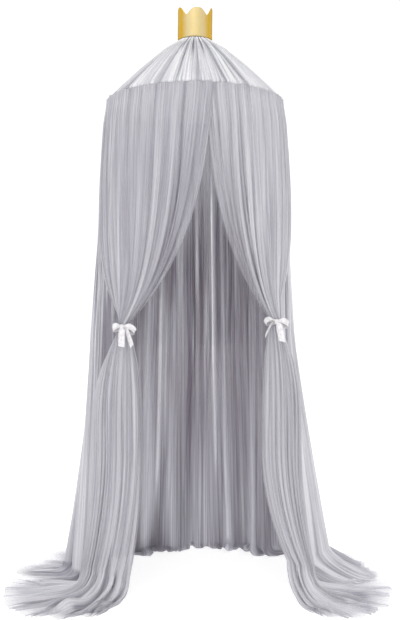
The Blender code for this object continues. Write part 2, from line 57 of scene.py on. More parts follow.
# Camera, lights and floor
studio = {
    "cameraBack": 3.1,  # from the hoop's middle
    "cameraHeight": 0.91,
    "lens": 51.7,
    "photoHeight": 620,  # pixels
    "shiftX": 5,
    "shiftY": 10,
    "sky": 1.1,
    "sunPower": 0.9,
    "sunFrom": (-0.15, -0.80, 0.75),
    "sunSpread": 45,
    "floorSize": 60,
    "floorGap": 0.0005,  # under the hem
    "floorColour": (0.42, 0.42, 0.42),
    "floorGlow": 0.78,  # lifts the shade under the net to a studio's white
}


def addItem(name, data):
    item = bpy.data.objects.new(name, data)
    bpy.context.scene.collection.objects.link(item)
    return item


def aim(item, place, target):
    item.location = place
    item.rotation_euler = (Vector(target) - Vector(place)).to_track_quat("-Z", "Y").to_euler()


def makeStudio():
    lens = bpy.data.cameras.new("photoCamera")
    lens.lens = studio["lens"]
    lens.shift_x = studio["shiftX"] / studio["photoHeight"]
    lens.shift_y = studio["shiftY"] / studio["photoHeight"]
    camera = addItem("photoCamera", lens)
    eyeLevel = floorLevel + studio["cameraHeight"]
    aim(camera, (0, -studio["cameraBack"], eyeLevel), (0, 0, eyeLevel))
    bpy.context.scene.camera = camera

    sun = bpy.data.lights.new("sun", "SUN")
    sun.energy = studio["sunPower"]
    sun.angle = math.radians(studio["sunSpread"])
    aim(addItem("sun", sun), studio["sunFrom"], (0, 0, 0))

    world = bpy.data.worlds.new("studio")
    world.use_nodes = True
    sky = world.node_tree.nodes["Background"]
    sky.inputs["Color"].default_value = (1, 1, 1, 1)
    sky.inputs["Strength"].default_value = studio["sky"]
    bpy.context.scene.world = world
    bpy.context.scene.view_settings.view_transform = "Standard"
    bpy.context.scene.cycles.transparent_max_bounces = 32  # the net is many layers deep

    bm = bmesh.new()
    bmesh.ops.create_circle(bm, cap_ends=True, segments=64, radius=studio["floorSize"] / 2)
    bmesh.ops.translate(bm, verts=bm.verts[:], vec=(0, 0, floorLevel - studio["floorGap"]))
    mesh = bpy.data.meshes.new("floor")
    bm.to_mesh(mesh)
    bm.free()
    paint = bpy.data.materials.new("floorPaint")
    paint.use_nodes = True
    shader = paint.node_tree.nodes["Principled BSDF"]
    shader.inputs["Base Color"].default_value = (*studio["floorColour"], 1)
    shader.inputs["Roughness"].default_value = 0.9
    shader.inputs["Emission Color"].default_value = (1, 1, 1, 1)
    shader.inputs["Emission Strength"].default_value = studio["floorGlow"]
    mesh.materials.append(paint)
    addItem("floor", mesh)
    print("studio ready")


makeStudio()


# Materials. A Wire is one socket, and sums and products of wires add Math nodes. Colours and looks
# are in one dictionary a finish.
class Wire:
    def __init__(self, tree, socket=None):
        self.tree = tree
        self.socket = socket

    def node(self, kind, settings=None, inputs=None, output=0):
        made = self.tree.nodes.new(kind)
        for key, value in (settings or {}).items():
            setattr(made, key, value)
        for key, value in (inputs or {}).items():
            if isinstance(value, Wire):
                self.tree.links.new(value.socket, made.inputs[key])
            else:
                made.inputs[key].default_value = value
        return Wire(self.tree, made.outputs[output] if made.outputs else None)

    def maths(self, operation, first, second):
        return self.node("ShaderNodeMath", {"operation": operation}, {0: first, 1: second})

    def __add__(self, other):
        return self.maths("ADD", self, other)

    def __radd__(self, other):
        return self.maths("ADD", other, self)

    def __sub__(self, other):
        return self.maths("SUBTRACT", self, other)

    def __rsub__(self, other):
        return self.maths("SUBTRACT", other, self)

    def __mul__(self, other):
        return self.maths("MULTIPLY", self, other)

    def __rmul__(self, other):
        return self.maths("MULTIPLY", other, self)

    def __abs__(self):
        return self.maths("ABSOLUTE", self, 0.0)

    def mixed(self, low, high):
        # from one colour to another as this wire goes from 0 to 1
        low, high = (c if isinstance(c, Wire) else (*c, 1) for c in (low, high))
        return self.node("ShaderNodeMix", {"data_type": "RGBA"}, {0: self, 6: low, 7: high}, 2)

    def ranged(self, fromLow, fromHigh, toLow, toHigh):
        ends = {"From Min": fromLow, "From Max": fromHigh, "To Min": toLow, "To Max": toHigh}
        return self.node("ShaderNodeMapRange", None, {"Value": self, **ends})


def startMaterial(name):
    made = bpy.data.materials.new(name)
    made.use_nodes = True
    made.node_tree.nodes.clear()
    return made, Wire(made.node_tree)


def endMaterial(made, start, inputs):
    shader = start.node("ShaderNodeBsdfPrincipled", None, inputs)
    start.node("ShaderNodeOutputMaterial", None, {"Surface": shader})
    return made


def bumped(height, depth, strength):
    return height.node(
        "ShaderNodeBump", None, {"Height": height, "Distance": depth, "Strength": strength}
    )


def streaks(cloth, across, along, detail=2.0):
    # soft lines that run down the cloth, across and along metres in size
    place = cloth.node(
        "ShaderNodeMapping", None, {"Vector": cloth, "Scale": (1 / across, 1 / along, 1)}
    )
    return cloth.node(
        "ShaderNodeTexNoise",
        {"noise_dimensions": "2D"},
        {"Vector": place, "Scale": 1.0, "Detail": detail},
    )


def netMaterial(name, look):
    made, start = startMaterial(name)
    cloth = start.node("ShaderNodeUVMap", {"uv_map": "cloth"})
    edge = start.node(
        "ShaderNodeTexVoronoi",
        {"voronoi_dimensions": "2D", "feature": "DISTANCE_TO_EDGE"},
        {"Vector": cloth, "Scale": 1 / look["mesh"], "Randomness": look["meshUneven"]},
    )
    threads = edge.ranged(*look["threadEdge"], 1.0, 0.0)
    fine, broad, wide = (
        streaks(cloth, *look[key]) - 0.5 for key in ("fineStreak", "broadStreak", "wideStreak")
    )
    density, fold, lined, face = (
        start.node("ShaderNodeAttribute", {"attribute_name": key}, None, 2)
        for key in ("netCover", "foldTone", "netLines", "netFace")
    )
    cover = look["hole"] + threads * (look["thread"] - look["hole"])
    cover = (cover + fine * look["fineCover"] + broad * look["broadCover"]) * density
    tone = (fine * look["fineTone"] + broad * look["broadTone"]) * lined + wide * look["wideTone"]
    # fold is the painted shade attribute: painted light on crests, painted shade in hollows, and painted
    # light and shade down the panel and along its lines
    tone = tone + fold + 0.5
    outside = tone.mixed(look["deep"], look["light"])
    # inside faces take darker colours, painted shade within the canopy, changing down the cloth
    fallen = start.node("ShaderNodeSeparateXYZ", None, {"Vector": cloth}, 1)
    low = fallen.ranged(*look["innerFall"], 0.0, 1.0)
    inside = tone.mixed(low.mixed(look["innerDeep"], look["innerDeepLow"]), look["innerLight"])
    relief = streaks(cloth, *look["crease"]) * look["creaseBump"] + threads * look["threadBump"]
    return endMaterial(made, start, {
        "Base Color": face.mixed(inside, outside),
        "Roughness": look["roughness"],
        "Alpha": cover,
        "Normal": bumped(relief, look["bumpDepth"], 0.8),
        "Sheen Weight": look["sheen"],
        "Sheen Roughness": 0.5,
        "Specular IOR Level": 0.2,
    })


greyNet = {
    "light": (0.64, 0.635, 0.67),  # painted light on crests and painted shade in hollows, outside
    "deep": (0.36, 0.35, 0.395),
    "innerLight": (0.60, 0.585, 0.635),  # inside: darker, as painted shade within the canopy
    "innerDeep": (0.33, 0.315, 0.365),
    "innerDeepLow": (0.33, 0.315, 0.365),
    "innerFall": (0.75, 1.15),  # metres down the cloth over which the inside's painted hollow shade turns from one colour to the other
    "mesh": 0.0018,  # the net's cell
    "meshUneven": 0.45,
    "threadEdge": (0.06, 0.22),  # share of a cell
    "thread": 0.86,  # cover of a thread and of a hole
    "hole": 0.48,
    "fineStreak": (0.0045, 0.30),  # across, along, and detail
    "broadStreak": (0.022, 0.80, 3.0),
    "wideStreak": (0.070, 1.40, 1.0),
    "fineCover": 0.30,
    "broadCover": 0.25,
    "fineTone": 0.9,
    "broadTone": 1.1,
    "wideTone": 0.6,
    "crease": (0.0035, 0.12),
    "creaseBump": 0.7,
    "threadBump": 0.12,
    "bumpDepth": 0.0012,
    "roughness": 0.85,
    "sheen": 0.15,
}
# the back panel: a dark purple inside, painted shade within the canopy, and a paler outside
backNet = {
    **greyNet,
    "light": (0.70, 0.695, 0.73),
    "deep": (0.25, 0.24, 0.28),
    "innerLight": (0.76, 0.75, 0.81),
    "innerDeep": (0.210, 0.174, 0.232),
    "innerDeepLow": (0.212, 0.200, 0.232),
    "thread": 0.92,
    "hole": 0.60,
    "fineTone": 1.2,
    "broadTone": 1.5,
    "wideTone": 1.3,
}
# the roof: deep is the painted shade of its hollows and of its crease lines near the neck
roofNet = {
    **greyNet,
    "light": (0.91, 0.91, 0.93),
    "deep": (0.12, 0.12, 0.16),
    "innerLight": (0.84, 0.84, 0.87),
    "innerDeep": (0.50, 0.50, 0.55),
    "innerDeepLow": (0.50, 0.50, 0.55),
    "thread": 0.76,
    "hole": 0.34,
    "broadTone": 0.4,
    "wideTone": 0.3,
}


# Sheets: a grid of rows and columns becomes a closed solid with an inner and an outer side
def gridSolid(name, rows, columns, across, ring, pole):
    bm = bmesh.new()
    bmesh.ops.create_grid(bm, x_segments=across, y_segments=rows - 1, size=0.5)
    rowOf = bm.verts.layers.int.new("row")
    columnOf = bm.verts.layers.int.new("column")
    sideOf = bm.verts.layers.int.new("side")
    for vert in bm.verts:
        vert[rowOf] = round((0.5 - vert.co.y) * (rows - 1))
        vert[columnOf] = round((vert.co.x + 0.5) * across) % (across if ring else columns)
    if ring:
        for vert in bm.verts:
            turn = math.tau * vert[columnOf] / across
            width = 0.0 if pole and vert[rowOf] == 0 else 1.0
            vert.co = (width * math.cos(turn), width * math.sin(turn), -vert[rowOf])
        bmesh.ops.remove_doubles(bm, verts=bm.verts[:], dist=1e-4)
    lifted = bmesh.ops.extrude_face_region(bm, geom=bm.faces[:], use_keep_orig=True)
    for item in lifted["geom"]:  # set apart for now, so that the normals come out right
        if isinstance(item, bmesh.types.BMVert):
            item[sideOf] = 1
            item.co = item.co * 1.5 if ring else item.co + Vector((0, 0, 0.5))
    bmesh.ops.recalc_face_normals(bm, faces=bm.faces[:])
    mesh = bpy.data.meshes.new(name)
    bm.to_mesh(mesh)
    bm.free()
    return mesh


def closedSheet(name, inner, outer, finish, uv, marks=None, tones=None, ring=False, pole=False):
    # inner and outer are the points of each side, row by row
    rows, columns = inner.shape[:2]
    across = columns if ring else columns - 1
    mesh = gridSolid(name, rows, columns, across, ring, pole)
    count = len(mesh.vertices)
    row, column, side = (np.zeros(count, np.int32) for _ in range(3))
    for key, values in (("row", row), ("column", column), ("side", side)):
        mesh.attributes[key].data.foreach_get("value", values)
        mesh.attributes.remove(mesh.attributes[key])
    points = np.where(side[:, None] == 1, outer[row, column], inner[row, column])
    mesh.vertices.foreach_set("co", points.astype(np.float32).ravel())
    corners = np.zeros(len(mesh.loops), np.int32)
    mesh.loops.foreach_get("vertex_index", corners)
    cornerColumn = column[corners].astype(float)
    if ring:  # the last column's faces end at the next turn, and not back at the start
        starts = np.zeros(len(mesh.polygons), np.int32)
        mesh.polygons.foreach_get("loop_start", starts)
        highest = np.maximum.reduceat(cornerColumn, starts)
        highest = np.repeat(highest, np.diff([*starts, len(corners)]))
        cornerColumn += np.where(highest - cornerColumn > across / 2, across, 0)
    width, length = uv
    spots = np.stack(
        [cornerColumn / across * width, row[corners] / (rows - 1) * length], axis=1
    )
    mesh.uv_layers.new(name="cloth").data.foreach_set("uv", spots.astype(np.float32).ravel())
    values = {key: mark[row, column] for key, mark in (marks or {}).items()}
    # tones: each face's painted light and painted shade
    if tones is not None:
        values["foldTone"] = np.where(side == 1, tones[1][row, column], tones[0][row, column])
        values["netFace"] = side
    for key, value in values.items():
        mesh.attributes.new(key, "FLOAT", "POINT").data.foreach_set("value", value.astype(np.float32))
    mesh.update()
    mesh.calc_loop_triangles()
    corner = np.zeros(len(mesh.loop_triangles) * 3, np.int32)
    mesh.loop_triangles.foreach_get("vertices", corner)
    a, b, c = points[corner].reshape(-1, 3, 3).transpose(1, 0, 2)
    if np.einsum("ij,ij->i", a, np.cross(b, c)).sum() < 0:
        mesh.flip_normals()
    mesh.shade_smooth()
    mesh.materials.append(finish)
    return addItem(name, mesh)


def unit(vectors):
    return vectors / np.maximum(np.linalg.norm(vectors, axis=-1, keepdims=True), 1e-9)


def gridFrame(points, ring=False):
    # directions across and down each point of a grid, and the normal between them
    if ring:
        across = np.roll(points, -1, 1) - np.roll(points, 1, 1)
    else:
        across = np.gradient(points, axis=1)
    down = np.gradient(points, axis=0)
    return across, down, unit(np.cross(across, down))


# Laws that the folds follow
def softStep(part):
    part = np.clip(part, 0.0, 1.0)
    return part * part * (3 - 2 * part)


def curveThrough(spots, values, share):
    # a table's column at places between its rows, on a smooth curve
    spots, values = np.array(spots), np.array(values)
    low = np.clip(np.searchsorted(spots, share) - 1, 0, len(spots) - 2)
    high = low + 1
    before, after = np.maximum(low - 1, 0), np.minimum(low + 2, len(spots) - 1)
    width = spots[high] - spots[low]
    part = (share - spots[low]) / width
    slopeIn = (values[high] - values[before]) / (spots[high] - spots[before]) * width
    slopeOut = (values[after] - values[low]) / (spots[after] - spots[low]) * width
    square, cube = part**2, part**3
    return (
        (2 * cube - 3 * square + 1) * values[low]
        + (cube - 2 * square + part) * slopeIn
        + (3 * square - 2 * cube) * values[high]
        + (cube - square) * slopeOut
    )


def downTable(panel, key, stages):
    # a table of (stage, value) pairs as a column, one value for each row of a panel
    return np.interp(stages, *zip(*panel[key]))[:, None]


def ripples(waves, place):
    # a sum of waves, each with its size, count and phase
    return sum(size * np.sin(count * place + phase) for size, count, phase in waves)


def around(radius, degrees, height):
    # points at an angle from the front towards +X, at a height above the floor
    turn = np.radians(degrees)
    x, y = radius * np.sin(turn), -radius * np.cos(turn)
    return np.stack(np.broadcast_arrays(x, y, floorLevel + height), axis=-1)


# Folds and pleats. Sizes in pairs are the least and most, and waves count radians a stage or share.
foldLaw = {
    "shape": ((0.00, -1.0), (0.29, 1.0), (0.50, 1.0), (0.79, -1.0)),  # share of a fold, height
    "width": (0.66, 1.34),
    "deep": (0.62, 1.30),
    "lean": 0.05,
    "nudge": 0.03,
    "sway": 1.1,  # waves down the panel
    "fixedEdge": 0.03,  # share of the panel at its edges where folds sway less
    "freeing": 0.15,  # stages below the header until they are uneven
    "breathing": (0.22, 1.9),  # how much a fold's depth changes down the panel, and its waves
    "edgeDepth": 0.42,  # share of a fold's depth at the free edges
    "fading": (0.38, 3.7, 1.3),  # how much of it comes and goes, and its two waves
    "turning": (1.9, 13),  # waves down and across of the way that crests lean
    "lineWander": 0.004,
    "lineFade": 0.3,  # stages
}


def mainFolds(count, seed):
    # the solid's own folds: four crests and valleys each, drawn in the solid's order
    chance = random.Random(seed)
    widths = [chance.uniform(*foldLaw["width"]) for _ in range(count)]
    whole = sum(widths)
    lines, start = [], 0.0
    for width in widths:
        deep = chance.uniform(*foldLaw["deep"])
        phase = chance.uniform(0, math.tau)
        lean = chance.uniform(-foldLaw["lean"], foldLaw["lean"]) * width / whole
        reach = chance.uniform(-1, 1)
        for part, height in foldLaw["shape"]:
            nudge = chance.uniform(-foldLaw["nudge"], foldLaw["nudge"]) if part else 0.0
            lines.append(((start + width * (part + nudge)) / whole, height, deep, phase, lean, reach))
        start += width
    lines[0] = (*lines[0][:4], 0.0, lines[0][5])  # the panel's edges don't lean
    lines.append((1.0, -1.0, *lines[-1][2:4], 0.0, lines[-1][5]))
    keys = ("share", "side", "deep", "phase", "lean", "reach")
    return {key: np.array(values) for key, values in zip(keys, zip(*lines))}


def betweenLines(nominal, spots, values):
    # values at a fold's crests and valleys, rounded between them
    low = np.clip(np.searchsorted(spots, nominal, side="right") - 1, 0, len(spots) - 2)
    part = (nominal - spots[low]) / (spots[low + 1] - spots[low])
    return values[low] + (values[low + 1] - values[low]) * softStep(part)


pleatLaw = {
    "uneven": 0.6,  # of their widths
    "deep": (0.15, 1.0),  # shares of the layer's depth
    "fixedEdge": 0.04,  # share of the panel at its edges where pleats wander less
    "wander": (3.1, 9, 7.3, 21),  # waves down and across, broad and fine
    "swell": (0.55, 0.35, 5.2, 2.3),  # middle and size of the swelling, and its waves
    "leaning": (0.7, 0.3, 3.3),
}


def pleatLayers(*rows):
    keys = ("count", "depth", "steepest", "lean", "wander", "lostOnFloor")
    return [dict(zip(keys, row)) for row in rows]


def makePleats(layer, seed):
    # one layer of small pleats, each with its own depth, lean and place where it swells and fades
    chance = np.random.default_rng(seed)
    count = layer["count"]
    widths = chance.lognormal(0.0, pleatLaw["uneven"], count)
    borders = np.concatenate([[0.0], np.cumsum(widths)]) / widths.sum()
    return {
        "borders": borders,
        "centres": (borders[1:] + borders[:-1]) / 2,
        "deep": chance.uniform(*pleatLaw["deep"], count),
        "lean": chance.uniform(-1.0, 1.0, count),
        "waves": chance.uniform(0, math.tau, (4, count)),
    }


def sharpen(wave, crisp):
    # narrow crests where crisp is over 0, narrow hollows where it is under 0
    up, power = (wave + 1) / 2, 1 + 2 * np.abs(crisp)
    return 2 * np.where(crisp > 0, up**power, 1 - (1 - up) ** power) - 1


def pleatLayer(layer, seed, nominal, fallen, stretch, crisp, ring=False):
    # heights and sideways shifts of a layer of pleats over a grid of points
    pleats = makePleats(layer, seed)
    if ring:
        for key in ("deep", "lean", "waves"):  # the last pleat meets the first
            pleats[key][..., -1] = pleats[key][..., 0]
    first, second, third = pleats["waves"][:3]
    fallen = fallen[:, None]
    edge = np.minimum(1, np.minimum(nominal, 1 - nominal) / pleatLaw["fixedEdge"])
    down, over, downFine, overFine = pleatLaw["wander"]
    wander = np.sin(down * fallen + over * nominal + seed)
    wander = wander + 0.5 * np.sin(downFine * fallen + overFine * nominal)
    place = np.clip(nominal + layer["wander"] * wander * edge, 0, 1)
    borders, centres = pleats["borders"], pleats["centres"]
    pleat = np.clip(np.searchsorted(borders, place, side="right") - 1, 0, layer["count"] - 1)
    width = borders[pleat + 1] - borders[pleat]
    turn = math.tau * (place - borders[pleat]) / width
    middle, size, fast, slow = pleatLaw["swell"]
    swell = middle + size * np.sin(fast * fallen + first) + size * np.sin(slow * fallen + second)
    swell = np.clip(swell, 0.05, 1.0) * pleats["deep"]
    middle, size, fast = pleatLaw["leaning"]
    lean = pleats["lean"] * (middle + size * np.sin(fast * fallen + third))
    swell, lean = (
        np.array([np.interp(p, centres, line) for p, line in zip(place, lines)])
        for lines in (swell, lean)
    )
    pitch = stretch * width
    depth = np.minimum(layer["depth"], layer["steepest"] * pitch) * swell
    shift = depth / layer["steepest"] * layer["lean"] * lean
    wave = sharpen(-np.cos(turn), crisp)
    return depth * wave, shift * wave, depth


def stripe(nominal, place, width, stages, first, last):
    # 1 on a line down a panel between two stages, and less beside it
    spans = stages - first, last - stages
    starting, ending = (softStep(span / foldLaw["lineFade"]) for span in spans)
    return np.exp(-(((nominal - place) / width) ** 2)) * (starting * ending)[:, None]


def foldedRows(panel, stages, nominal, middleRow):
    # the middle of a gathered panel row by row, and the size and height of its main folds there
    folds = mainFolds(panel["folds"], panel["seed"])
    inside = np.minimum(folds["share"], 1 - folds["share"])
    chance = np.random.default_rng(panel["seed"])
    fading = np.repeat(chance.uniform(0, math.tau, (2, panel["folds"])), 4, axis=1)
    fading = np.concatenate([fading, fading[:, -1:]], axis=1)
    depths = downTable(panel, "swell", stages) * downTable(panel, "mainShare", stages)
    edgeDepth, (breath, breathing) = foldLaw["edgeDepth"], foldLaw["breathing"]
    faded, fast, slow = foldLaw["fading"]
    reach = betweenLines(nominal, folds["share"], folds["reach"])
    rows = []
    for stage, depth in zip(stages, depths[:, 0]):
        sway = folds["lean"] * np.sin(foldLaw["sway"] * stage + folds["phase"])
        sway = sway * np.minimum(1, inside / foldLaw["fixedEdge"])
        share = np.interp(nominal, folds["share"], folds["share"] + sway)
        free = folds["deep"] * (1 + breath * np.sin(breathing * stage + folds["phase"]))
        free *= edgeDepth + (1 - edgeDepth) * softStep(inside / panel["calm"])
        free *= 1 - faded * (1 - np.sin(fast * stage + fading[0]) * np.sin(slow * stage + fading[1]))
        size = 1 + (free - 1) * softStep((stage - headerHeld) / foldLaw["freeing"])
        size, height = (
            betweenLines(nominal, folds["share"], values) for values in (size, size * folds["side"])
        )
        rows.append((middleRow(panel, share, stage, depth * size, reach), depth * size, height / size))
    points, sizes, heights = (np.array(part) for part in zip(*rows))
    return points, sizes, heights, folds["share"][::4]


def netGrid(panel, stages, middleRow):
    # a panel's points with its folds, pleats and creases, its fold heights for painted light and shade,
    # the painted light and shade along its lines, and its cover
    nominal = np.linspace(0, 1, panel["columns"])
    points, sizes, heights, borders = foldedRows(panel, stages, nominal, middleRow)
    across, _, normal = gridFrame(points)
    normal *= panel["outward"]
    sideways = unit(across)
    stretch = np.linalg.norm(across, axis=-1) * (len(nominal) - 1)
    steps = np.linalg.norm(np.diff(points, axis=0), axis=-1).mean(axis=1)
    fallen = np.concatenate([[0.0], np.cumsum(steps)])
    fold = np.clip(np.searchsorted(borders, nominal, side="right") - 1, 0, len(borders) - 2)
    foldWidth = stretch * (borders[fold + 1] - borders[fold])
    main = np.minimum(sizes, panel["steepest"] * foldWidth)
    onFloor = softStep(stages[:, None] - panel["kneeStage"])
    crisp, kept = (downTable(panel, key, stages) for key in ("crisp", "pleatShare"))
    heights = sharpen(np.clip(heights, -1, 1), crisp)
    lift = heights * main
    down, over = foldLaw["turning"]
    turning = np.sin(down * fallen[:, None] + over * nominal)
    shift = heights * main / panel["steepest"] * panel["mainLean"] * turning
    # tone: fold and pleat heights, later painted light on crests and painted shade in hollows
    tone = heights
    for number, layer in enumerate(panel["layers"]):
        height, sideShift, depth = pleatLayer(
            layer, panel["seed"] + 100 * (number + 1), nominal, fallen, stretch, crisp
        )
        share = kept * (1 - layer["lostOnFloor"] * onFloor)
        lift = lift + (height + depth * onFloor) * share
        shift = shift + sideShift * share
        tone = tone + height / layer["depth"]
    paintedLineLight, thin = 0 * lift, 0 * lift
    wandering = nominal - foldLaw["lineWander"] * np.sin(2 * fallen[:, None])
    # lines: painted light or painted shade along thin folds and broad patches, with their folds' heights
    for place, width, first, last, height, paintedLight in panel["lines"]:
        spread = stripe(wandering, place, width, stages, first, last)
        lift, paintedLineLight = lift + height * spread, paintedLineLight + paintedLight * spread
    for place, width, first, last, thinness in panel["sheerParts"]:
        thin = thin + thinness * stripe(nominal, place, width, stages, first, last)
    folded = points + normal * lift[..., None] + sideways * shift[..., None]
    folded[0, :, 2] = points[0, :, 2]
    length = np.linalg.norm(gridFrame(folded)[0], axis=-1)
    flank = 1 - np.linalg.norm(across, axis=-1) / np.maximum(length, 1e-9)
    return folded, tone, paintedLineLight, (1 - thin) * (1 + panel["flankCover"] * np.clip(flank, 0, 1))


def netPiece(name, panel, stages, middleRow, finish):
    folded, tone, paintedLineLight, folding = netGrid(panel, stages, middleRow)
    normal = gridFrame(folded)[2] * panel["outward"]
    half = downTable(panel, "thick", stages)[..., None] / 2
    inner, outer = folded - normal * half, folded + normal * half
    for side in (inner, outer):
        side[..., 2] = np.maximum(side[..., 2], floorLevel)
    nominal = np.linspace(0, 1, panel["columns"])
    coverAt, paleAt, lined, sheer = (
        downTable(panel, key, stages) for key in ("coverAt", "paleAt", "linedAt", "sheerAt")
    )
    cover = coverAt + 0 * nominal
    for inside, (least, width) in zip((nominal, 1 - nominal), panel["edgeCover"]):
        cover = cover * (1 - sheer * (1 - least) * (1 - softStep(inside / width)))
    hem = softStep((stages[-1] - stages)[:, None] / panel["hemFade"])
    cover = cover * (panel["hemCover"] + (1 - panel["hemCover"]) * hem) * folding
    # painted light and shade down the panel and along its lines, with painted light on crests and
    # painted shade in hollows; a crest on one face is a hollow on the other
    tones = [paleAt + paintedLineLight + way * lined * panel["foldTone"] * tone for way in (-1, 1)]
    marks = {"netCover": cover, "netLines": lined + 0 * cover}
    return closedSheet(name, inner, outer, finish, panel["flat"], marks, tones)


def stageRows(*spans):
    # (from, to, rows) spans down a panel
    rows = [np.linspace(low, high, count, endpoint=False) for low, high, count in spans]
    return np.append(np.concatenate(rows), spans[-1][1])


# The panels' header at the hoop
net = 0.0014  # the solid's net, with its seats
seat = 0.0003
lipClear = 0.0010  # between the hoop and the roof's turned hem
headerSeat = 1.4 * seat  # between that hem and the panels
headerHeld = 0.03  # stage down to which the gathers are even, past the roof's lip
headerDepth = 0.0028
hoopHeight = hoopLevel - floorLevel
header = {
    "puff": 0.007,  # how far the net stands out below the hoop
    "puffTop": 0.10,
    "puffHold": 0.08,
    "puffLength": 0.50,
    "lift": 0.002,
    "lipRadius": hoopRadius + hoopTube + seat + lipClear + net / 2,
}
header["radius"] = header["lipRadius"] + net + headerSeat + headerDepth
header["lap"] = 2 * headerDepth + net + seat

hemWaves = ((0.5, 97, 1), (0.35, 211, 2), (0.25, 389, 0))  # how unevenly a hem lies on the floor

# The tied drapes. share runs from the free front edge to the free side edge. Stages: fan 0 to 1,
# the ribbon's grip 1 to 2, opening out 2 to 3, fall 3 to 4, knee 4 to 5 and floor 5 to 6.
drape = {
    "columns": 400,
    "folds": 11,
    "calm": 0.05,  # share of the width over which the free edges fold less
    "steepest": 0.28,  # a fold's depth to its width
    "mainShare": ((0.0, 0.6), (2.2, 0.55), (3.0, 0.35), (4.0, 0.5), (4.6, 1.0), (6.0, 1.0)),
    "mainLean": 0.16,  # how far crests lean over
    "crisp": ((0.0, -0.6), (2.2, -0.6), (3.0, -1.1), (4.0, -0.9), (4.7, 0.9), (6.0, 0.9)),
    "pleatShare": ((0.0, 0.8), (2.2, 0.8), (3.0, 0.32), (4.0, 0.35), (4.7, 0.7), (6.0, 0.9)),
    "layers": pleatLayers(
        (17, 0.0085, 0.40, 0.18, 0.022, -0.2),
        (37, 0.0034, 0.28, 0.26, 0.010, 0.6),
        (83, 0.0015, 0.24, 0.26, 0.006, 0.7),
    ),
    "flankCover": 0.7,  # how much denser the net looks along a fold's flanks
    "foldTone": 0.12,  # how strongly crests are painted lighter and hollows painted darker
    "coverAt": ((0, 1.0), (4, 1.0), (5, 0.90), (6, 0.80)),
    "sheerParts": (),
    "linedAt": ((0, 1.0), (2.2, 1.0), (3, 0.65), (4, 0.75), (4.7, 1.5), (6, 1.4)),
    "sheerAt": ((0, 0.1), (0.3, 0.4), (0.7, 1.0), (1.0, 1.0), (2.0, 0.3), (6, 0.3)),
    "kneeStage": 4.0,
    "uneven": 0.05,  # of the train's length, fold by fold, and along the hem
    "ragged": 0.020,
    "stray": 0.10,
    "strayWaves": (31, 3),
    "bundle": 0.0162,  # radius of the net where it is tied, and degrees round
    "bundleSweep": 300,
    "bellyLow": 1.4,  # over 1, the fan swells below its middle
    "grip": 0.010,
    "swagHeight": 0.500,
    "swell": (
        (0.00, 0.0028), (0.03, 0.0028), (0.15, 0.0056), (0.45, 0.0105), (0.80, 0.0100), (0.96, 0.0020),
        (1.00, 0.0009), (2.00, 0.0009), (2.09, 0.0020), (2.50, 0.0100), (3.00, 0.0120), (4.00, 0.0130),
        (4.60, 0.0190), (5.20, 0.0170), (5.60, 0.0100), (6.00, 0.0045),
    ),
    "thick": (
        (0.0, 0.0007), (0.85, 0.0007), (1.0, 0.0003), (2.0, 0.0003), (2.3, 0.0007), (6.0, 0.0007),
    ),
    "flat": (0.50, 2.10),
    "edgeCover": ((0.40, 0.30), (1.0, 0.09)),  # at the front and side edges, how sheer and how wide
    "hemCover": 0.40,
    "hemFade": 0.5,
}
